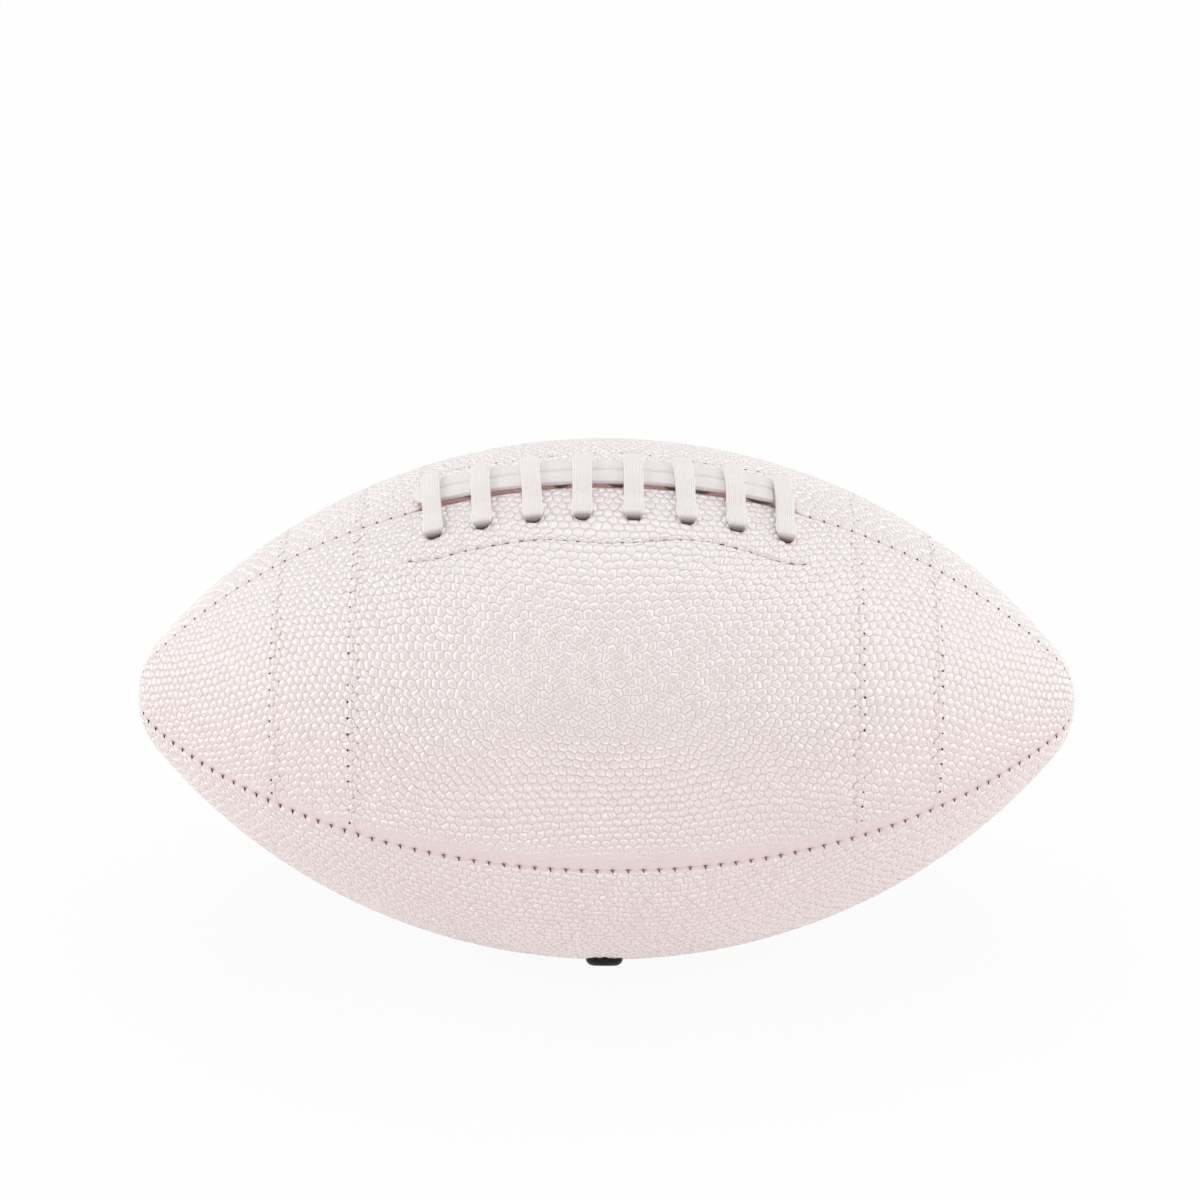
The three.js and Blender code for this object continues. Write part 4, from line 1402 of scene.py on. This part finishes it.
@dataclass
class Stitching:
    """The rows of stitches: along the seams, over the stripe bands' joints and round the facings.

    The sizes of a thread or a needle hole are halves: along the ball or its row, across that, and out of the
    ball. Where there are two, they are the last two.
    """

    shape: BallShape
    plan: LacingPlan
    seams: SeamPlan
    cover: Cover
    thread: Mottled
    shadow: Mottled
    seam_depth: float = 0.7
    top_seam_depth: float = 0.44
    seam_hole: tuple[float, float, float] = (0.17, 1.0, 0.28)
    level_seam_hole: tuple[float, float, float] = (0.24, 0.55, 0.28)
    seam_thread: tuple[float, float] = (0.4, 0.32)
    seam_thread_gap: float = 0.2
    seam_thread_sunk: float = 0.1
    tick_shift: float = 0.5
    slant: float = 0.22
    zigzag_pitch: float = 4.6
    zigzag_width: float = 3.2
    zigzag_inset: float = 4.0
    zigzag_thread: tuple[float, float] = (0.28, 0.2)
    zigzag_sunk: float = 0.1
    zigzag_holes: tuple[float, float] = (0.15, 0.38)
    row_pitch: float = 4.0
    row_sunk: float = 0.42
    row_hole: tuple[float, float, float] = (0.8, 0.11, 0.17)
    row_thread: tuple[float, float] = (0.25, 0.24)
    row_thread_gap: float = 0.6
    light: Material = field(init=False)
    dark: Material = field(init=False)

    def build(self) -> None:
        """Builds every row of stitches with dark bodies for the painted shade in its needle holes."""
        self.light = self.thread.material()
        self.dark = self.shadow.material()
        end, slit = self.seams.end, self.plan.slit_end
        self.seam("front", 0.0, -end, end, -1, self.seam_depth)
        self.seam("back", 2 * QUARTER, -end, end, 1, self.seam_depth)
        self.seam("bottom", 3 * QUARTER, -end, end, 0, self.seam_depth)
        self.seam("top_left", QUARTER, -end, -slit, 0, self.top_seam_depth)
        self.seam("top_right", QUARTER, slit, end, 0, self.top_seam_depth)
        for row in Row:
            for side in Side:
                for edge, s in (("inner", self.cover.stripe_inner), ("outer", self.cover.stripe_outer)):
                    self.zigzag(row.quarter, side.value * s, f"{row.label}_{side.label}_{edge}")
        for row in Row:
            self.facing_row(row)

    def finish(self, name: str, stitches: list[Matrix], holes: list[Matrix], node: str) -> None:
        """Builds the threads of one row and the painted shade of its needle holes, all as small rounded
        bodies.

        Args:
            name: the row's name.
            stitches: frames of its threads, whose axes are their half sizes.
            holes: frames of its needle holes.
            node: the solid that the threads stand for.
        """
        # The dark bodies in the needle holes are painted shade
        rows = (("threads", stitches, self.light, [node]), ("needle_hole_shade", holes, self.dark, []))
        for kind, places, material, nodes in rows:
            bm = bmesh.new()
            for matrix in places:
                bmesh.ops.create_uvsphere(bm, u_segments=8, v_segments=6, radius=1.0, matrix=matrix)
            piece = new_piece(f"{name}_{kind}", mesh_of(bm, f"{name}_{kind}"), material)
            settle(piece, "thread", *nodes)

    def seam(self, name: str, angle: float, low: float, high: float, downwards: int, depth: float) -> None:
        """Builds the stitches of one seam, sunk between the panels.

        Args:
            name: the seam's name.
            angle: where it runs about the long axis.
            low: where it starts along the ball.
            high: where it ends.
            downwards: which way round the ball its bottom panel lies, or 0 between two panels alike.
            depth: how far its needle holes lie below the ball's surface.
        """
        places = self.seams.holes(low, high)
        half_pitch = self.seams.pitch / 2
        hole_size = Matrix.Diagonal((*(self.seam_hole if downwards else self.level_seam_hole), 1.0))
        thread_size = Matrix.Diagonal((half_pitch - self.seam_thread_gap, *self.seam_thread, 1.0))
        turn = Matrix.Rotation(self.slant, 4, "Z")
        stitches, holes = [], []
        for s in places:
            lowered = angle + downwards * self.tick_shift / float(self.shape.profile(s)[1])
            holes.append(self.shape.frame_at(s, lowered, -depth) @ turn @ hole_size)
        for s in places[:-1] + half_pitch:
            stitches.append(self.shape.frame_at(s, angle, -depth - self.seam_thread_sunk) @ thread_size)
        self.finish(f"seam_{name}", stitches, holes, f"seam_thread_{name}")

    def zigzag(self, quarter: Quarter, joint: float, name: str) -> None:
        """Builds a zigzag row over the joint of a stripe band.

        Args:
            quarter: the panel.
            joint: where the joint is along the ball.
            name: the row's name.
        """
        r = float(self.shape.profile(joint)[1])
        inset = self.zigzag_inset / r
        span = QUARTER - 2 * inset
        count = round(span * r / (self.zigzag_pitch / 2))
        tipward = math.copysign(1.0, joint)
        points = []
        for index in range(count + 1):
            side = self.zigzag_width / 2 * (1 if index % 2 else -1)
            points.append((joint + side, quarter.start + inset + span * index / count))
        stitches, holes = [], []
        for (s, angle), (next_s, next_angle) in zip(points, points[1:]):
            middle = self.shape.frame_at((s + next_s) / 2, (angle + next_angle) / 2, -self.zigzag_sunk)
            rise, run = (next_angle - angle) * r, next_s - s
            turn = Matrix.Rotation(math.atan2(rise, run), 4, "Z")
            half = math.hypot(rise, run) / 2
            stitches.append(middle @ turn @ Matrix.Diagonal((half, *self.zigzag_thread, 1.0)))
        for s, angle in points:
            # The needle holes close up towards the top seam
            below_top = abs(angle - QUARTER) / QUARTER
            small, large = self.zigzag_holes
            size = large if (s - joint) * tipward > 0 else small
            size *= 0.55 + 0.45 * float(smooth(0.15, 0.6, below_top))
            holes.append(self.shape.frame_at(s, angle, -0.02) @ Matrix.Diagonal((size, size, 0.16, 1.0)))
        self.finish(f"stripe_{name}", stitches, holes, f"stripe_stitch_{name}")

    def facing_row(self, row: Row) -> None:
        """Builds the row of stitches that holds a facing.

        Args:
            row: which facing.
        """
        end = self.plan.facing_half - self.plan.stitch_inset
        count = round(2 * end / self.row_pitch)
        pitch = 2 * end / count
        hole_size = Matrix.Diagonal((*self.row_hole, 1.0))
        thread_size = Matrix.Diagonal((pitch / 2 - self.row_thread_gap, *self.row_thread, 1.0))
        nudge = 0.1
        stitches, holes = [], []
        for index in range(count):
            s = pitch * (index + 0.5) - end
            along = np.array([s, s + nudge, s + pitch / 2])
            arcs = row.value * self.plan.stitch_row(along)
            angles = self.plan.angle(along, arcs)
            turn = Matrix.Rotation(-math.atan2(arcs[1] - arcs[0], nudge), 4, "Z")
            holes.append(self.shape.frame_at(s, angles[0], -self.row_sunk) @ turn @ hole_size)
            stitches.append(self.shape.frame_at(along[2], angles[2], -self.row_sunk) @ turn @ thread_size)
        self.finish(f"facing_{row.label}", stitches, holes, f"facing_stitch_{row.label}")


@dataclass
class Inside:
    """What the cover hides, and the valve that comes through it."""

    shape: BallShape
    lining_cloth: Cloth
    bladder_rubber: Mottled
    valve_rubber: Mottled
    valve_radius: float = 5.5
    face_radius: float = 3.0
    proud: float = 2.1
    flange_radius: float = 9.0
    flange_top: float = -6.59
    flange_thickness: float = 1.2
    depth: float = 11.0
    face_wall: float = 2.6
    bore: float = 3.0
    needle_radius: float = 1.0
    ring_radius: float = 2.2
    ring_depth: float = 0.2
    rim: float = 0.25
    edge: float = 0.3
    fillet: float = 0.4
    spin_steps: int = 48

    def build(self) -> None:
        """Dresses the hidden solids and builds the valve."""
        rubber = self.valve_rubber.material()
        lining = self.lining_cloth.material()
        for quarter in Quarter:
            self.dress(f"{quarter.label}_lining", lining)
        self.dress("bladder", self.bladder_rubber.material())
        self.dress("valve_core", rubber)
        self.valve(rubber)

    def dress(self, node: str, material: Material) -> None:
        """Gives a solid of the frame its material.

        Args:
            node: the solid's name.
            material: the material.
        """
        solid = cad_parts[node]
        if not solid.material_slots:
            solid.data.materials.append(material)
        solid.material_slots[0].material = material
        LOG.info("%s: dressed", node)

    def profile(self) -> list[tuple[float, float]]:
        """Lists the corners of the valve's outline.

        Returns:
            For each its distance from the valve's axis and its height above the ball's surface.
        """
        top, radius, needle, ring = self.proud, self.valve_radius, self.needle_radius, self.ring_radius
        flange, upper, edge = self.flange_radius, self.flange_top, self.edge
        lower, wall = upper - self.flange_thickness, top - self.face_wall
        shoulder = [
            (self.face_radius + (radius - self.face_radius) * math.sin(turn), top * math.cos(turn))
            for turn in np.linspace(0, QUARTER, 9)
        ]
        return [
            (needle, wall),
            (needle, top - self.rim),
            (needle + self.rim, top),
            (ring - self.rim, top),
            (ring, top - self.ring_depth),
            (ring + self.rim, top),
            *shoulder,
            (radius, upper + self.fillet),
            (radius + self.fillet, upper),
            (flange - edge, upper),
            (flange, upper - edge),
            (flange, lower + edge),
            (flange - edge, lower),
            (radius, lower),
            (radius, -self.depth),
            (self.bore, -self.depth),
            (self.bore, wall),
        ]

    def valve(self, rubber: Material) -> None:
        """Turns the valve's body from its outline.

        Args:
            rubber: its material.
        """
        bm = bmesh.new()
        corners = [bm.verts.new((radius, 0.0, height)) for radius, height in self.profile()]
        edges = [bm.edges.new(pair) for pair in zip(corners, corners[1:] + corners[:1])]
        turn = {"cent": (0, 0, 0), "axis": (0, 0, 1), "angle": math.tau, "steps": self.spin_steps}
        bmesh.ops.spin(bm, geom=corners + edges, use_merge=True, **turn)
        bmesh.ops.remove_doubles(bm, verts=bm.verts[:], dist=1e-4)
        bmesh.ops.recalc_face_normals(bm, faces=bm.faces[:])
        bm.transform(self.shape.frame_at(0.0, Quarter.BOTTOM_FRONT.middle, 0.0))
        piece = new_piece("valve_body_rubber", mesh_of(bm, "valve_body"), rubber)
        settle(piece, "valve_rubber", "valve_body")


@dataclass
class Studio:
    """A pale floor, soft lights and the camera at the photograph's angle.

    The sweep is where the floor starts to turn to pure white and where it is, in metres from the ball.
    """

    shape: BallShape
    elevation: float = 39.1
    distance: float = 970.0
    focal_pixels: float = 3233.0
    frame_pixels: float = 1200.0
    ball_pixel: tuple[float, float] = (607.0, 698.0)
    roll: float = 0.43
    sensor: float = 36.0
    surround: float = 0.36
    floor_size: float = 6.0
    floor_colour: str = "fbfbfb"
    bounce_colour: str = "e0cac9"
    glow_share: float = 0.92
    sweep: tuple[float, float] = (0.6, 1.1)

    def build(self) -> None:
        """Sets up the stage."""
        bpy.context.scene.view_settings.view_transform = "Standard"
        self.world()
        self.floor()
        self.lamps()
        self.camera()

    def world(self) -> None:
        """An even white surround, seen by the camera as a white background."""
        world = bpy.data.worlds.new("studio")
        bpy.context.scene.world = world
        world.use_nodes = True
        tree = world.node_tree
        tree.nodes.clear()
        light = add_node(tree, "ShaderNodeBackground", {"Color": WHITE, "Strength": self.surround})
        seen = add_node(tree, "ShaderNodeBackground", {"Color": WHITE, "Strength": 1.0})
        inputs = {0: self.looking(tree), 1: light.outputs[0], 2: seen.outputs[0]}
        both = add_node(tree, "ShaderNodeMixShader", inputs)
        add_node(tree, "ShaderNodeOutputWorld", {"Surface": both.outputs[0]})

    def looking(self, tree: NodeTree) -> NodeSocket:
        """Tells rays that look at the background from rays that carry its light.

        Args:
            tree: the tree of the background.

        Returns:
            A socket that is 1 for the camera's, mirrored and refracted rays.
        """
        path = add_node(tree, "ShaderNodeLightPath")
        looks = path.outputs["Is Camera Ray"]
        for kind in ("Is Glossy Ray", "Is Transmission Ray"):
            inputs = {0: looks, 1: path.outputs[kind]}
            looks = add_node(tree, "ShaderNodeMath", inputs, operation="MAXIMUM").outputs[0]
        return looks

    def floor(self) -> None:
        """A white floor that keeps a faint shadow."""
        bm = bmesh.new()
        bmesh.ops.create_grid(bm, x_segments=2, y_segments=2, size=self.floor_size)
        new_piece("floor", mesh_of(bm, "floor"), self.floor_paint())

    def floor_paint(self) -> Material:
        """Matt white paint that the camera sees mostly as a bright sweep."""
        material, tree = new_material("matt_white_paint")
        looks = self.looking(tree)
        inputs = {"Factor": looks, 6: linear(self.bounce_colour), 7: linear(self.floor_colour)}
        paint = add_node(tree, "ShaderNodeMix", inputs, data_type="RGBA")
        matt = add_node(tree, "ShaderNodeBsdfDiffuse", {"Color": paint.outputs[2]})
        glow = add_node(tree, "ShaderNodeEmission", {"Color": WHITE, "Strength": 1.0})
        place = add_node(tree, "ShaderNodeTexCoord").outputs["Object"]
        away = add_node(tree, "ShaderNodeVectorMath", {0: place}, operation="LENGTH").outputs["Value"]
        inputs = {"Value": away, "From Min": self.sweep[0], "From Max": self.sweep[1]}
        inputs |= {"To Min": self.glow_share, "To Max": 1.0}
        spread = add_node(tree, "ShaderNodeMapRange", inputs)
        share = add_node(tree, "ShaderNodeMath", {0: looks, 1: spread.outputs[0]}, operation="MULTIPLY")
        inputs = {0: share.outputs[0], 1: matt.outputs[0], 2: glow.outputs[0]}
        both = add_node(tree, "ShaderNodeMixShader", inputs)
        add_node(tree, "ShaderNodeOutputMaterial", {"Surface": both.outputs[0]})
        return material

    def lamps(self) -> None:
        """Soft lamps low at both sides, overhead towards the back, and weak in front just over the floor."""
        # Each lamp's place and size in metres, and its power in watts
        plan = {
            "left": ((-1.4, 0.0, 0.6), (1.5, 1.25), 12.6),
            "right": ((1.4, 0.0, 0.65), (1.8, 1.4), 12.8),
            "overhead": ((0.05, 0.5, 1.4), (1.2, 0.9), 7.0),
            "front": ((0.0, -0.65, 0.05), (0.8, 0.06), 1.2),
        }
        target = Vector((0, 0, self.shape.axis_height * MM))
        for name, (place, size, power) in plan.items():
            lamp = bpy.data.lights.new(name, "AREA")
            lamp.shape = "RECTANGLE"
            lamp.size, lamp.size_y = size
            lamp.energy = power
            holder = bpy.data.objects.new(name, lamp)
            holder.location = place
            holder.visible_camera = False
            holder.rotation_euler = (target - Vector(place)).to_track_quat("-Z", "Y").to_euler()
            bpy.context.scene.collection.objects.link(holder)

    def camera(self) -> None:
        """A camera that sees the ball where the photograph has it."""
        lens = bpy.data.cameras.new("camera")
        lens.sensor_fit = "HORIZONTAL"
        lens.sensor_width = self.sensor
        lens.lens = self.sensor * self.focal_pixels / self.frame_pixels
        camera = bpy.data.objects.new("camera", lens)
        centre = Vector((0, 0, self.shape.axis_height * MM))
        tilt = math.radians(self.elevation)
        away = Vector((0, -math.cos(tilt), math.sin(tilt)))
        look = (-away).to_track_quat("-Z", "Y").to_matrix().to_4x4()
        right, down = (pixel - self.frame_pixels / 2 for pixel in self.ball_pixel)
        aim = Matrix.Rotation(math.atan(down / self.focal_pixels), 4, "X")
        aim = aim @ Matrix.Rotation(math.atan(right / self.focal_pixels), 4, "Y")
        roll = Matrix.Rotation(math.radians(self.roll), 4, "Z")
        camera.matrix_world = Matrix.Translation(centre + away * self.distance * MM) @ look @ aim @ roll
        bpy.context.scene.collection.objects.link(camera)
        bpy.context.scene.camera = camera


def main() -> None:
    """Builds the ball's looks and its stage."""
    logging.basicConfig(level=logging.INFO, format="%(name)s: %(message)s")
    shape = BallShape()
    plan = LacingPlan(shape)
    seams = SeamPlan()
    Studio(shape).build()
    cover = Cover(shape, plan, seams, CoverLeather(PebbleField()))
    cover.build()
    Lacing(plan, Webbing(), Cloth("fbd3cf", "f0c0bb", name="dyed_cotton_drill")).build()
    Stitching(
        shape,
        plan,
        seams,
        cover,
        Mottled("waxed_polyester_thread", "f1e6e5", "e6d8d7", roughness=0.6, speckle=0.4, depth=0.1),
        # Dark bodies for the needle holes: painted shade
        Mottled("shadowed_needle_hole", "43363a", "2a2124", roughness=0.9, speckle=0.5, depth=0.05),
    ).build()
    Inside(
        shape,
        Cloth("ddd5c8", "b9b0a2", name="unbleached_cotton_drill"),
        Mottled("butyl_rubber", "232326", "151518", roughness=0.6, speckle=6.0, depth=0.2),
        Mottled("moulded_black_rubber", "101116", "07080b", 0.5, speckle=1.2, depth=0.08, gloss=0.15),
    ).build()


if __name__ == "__main__":
    main()
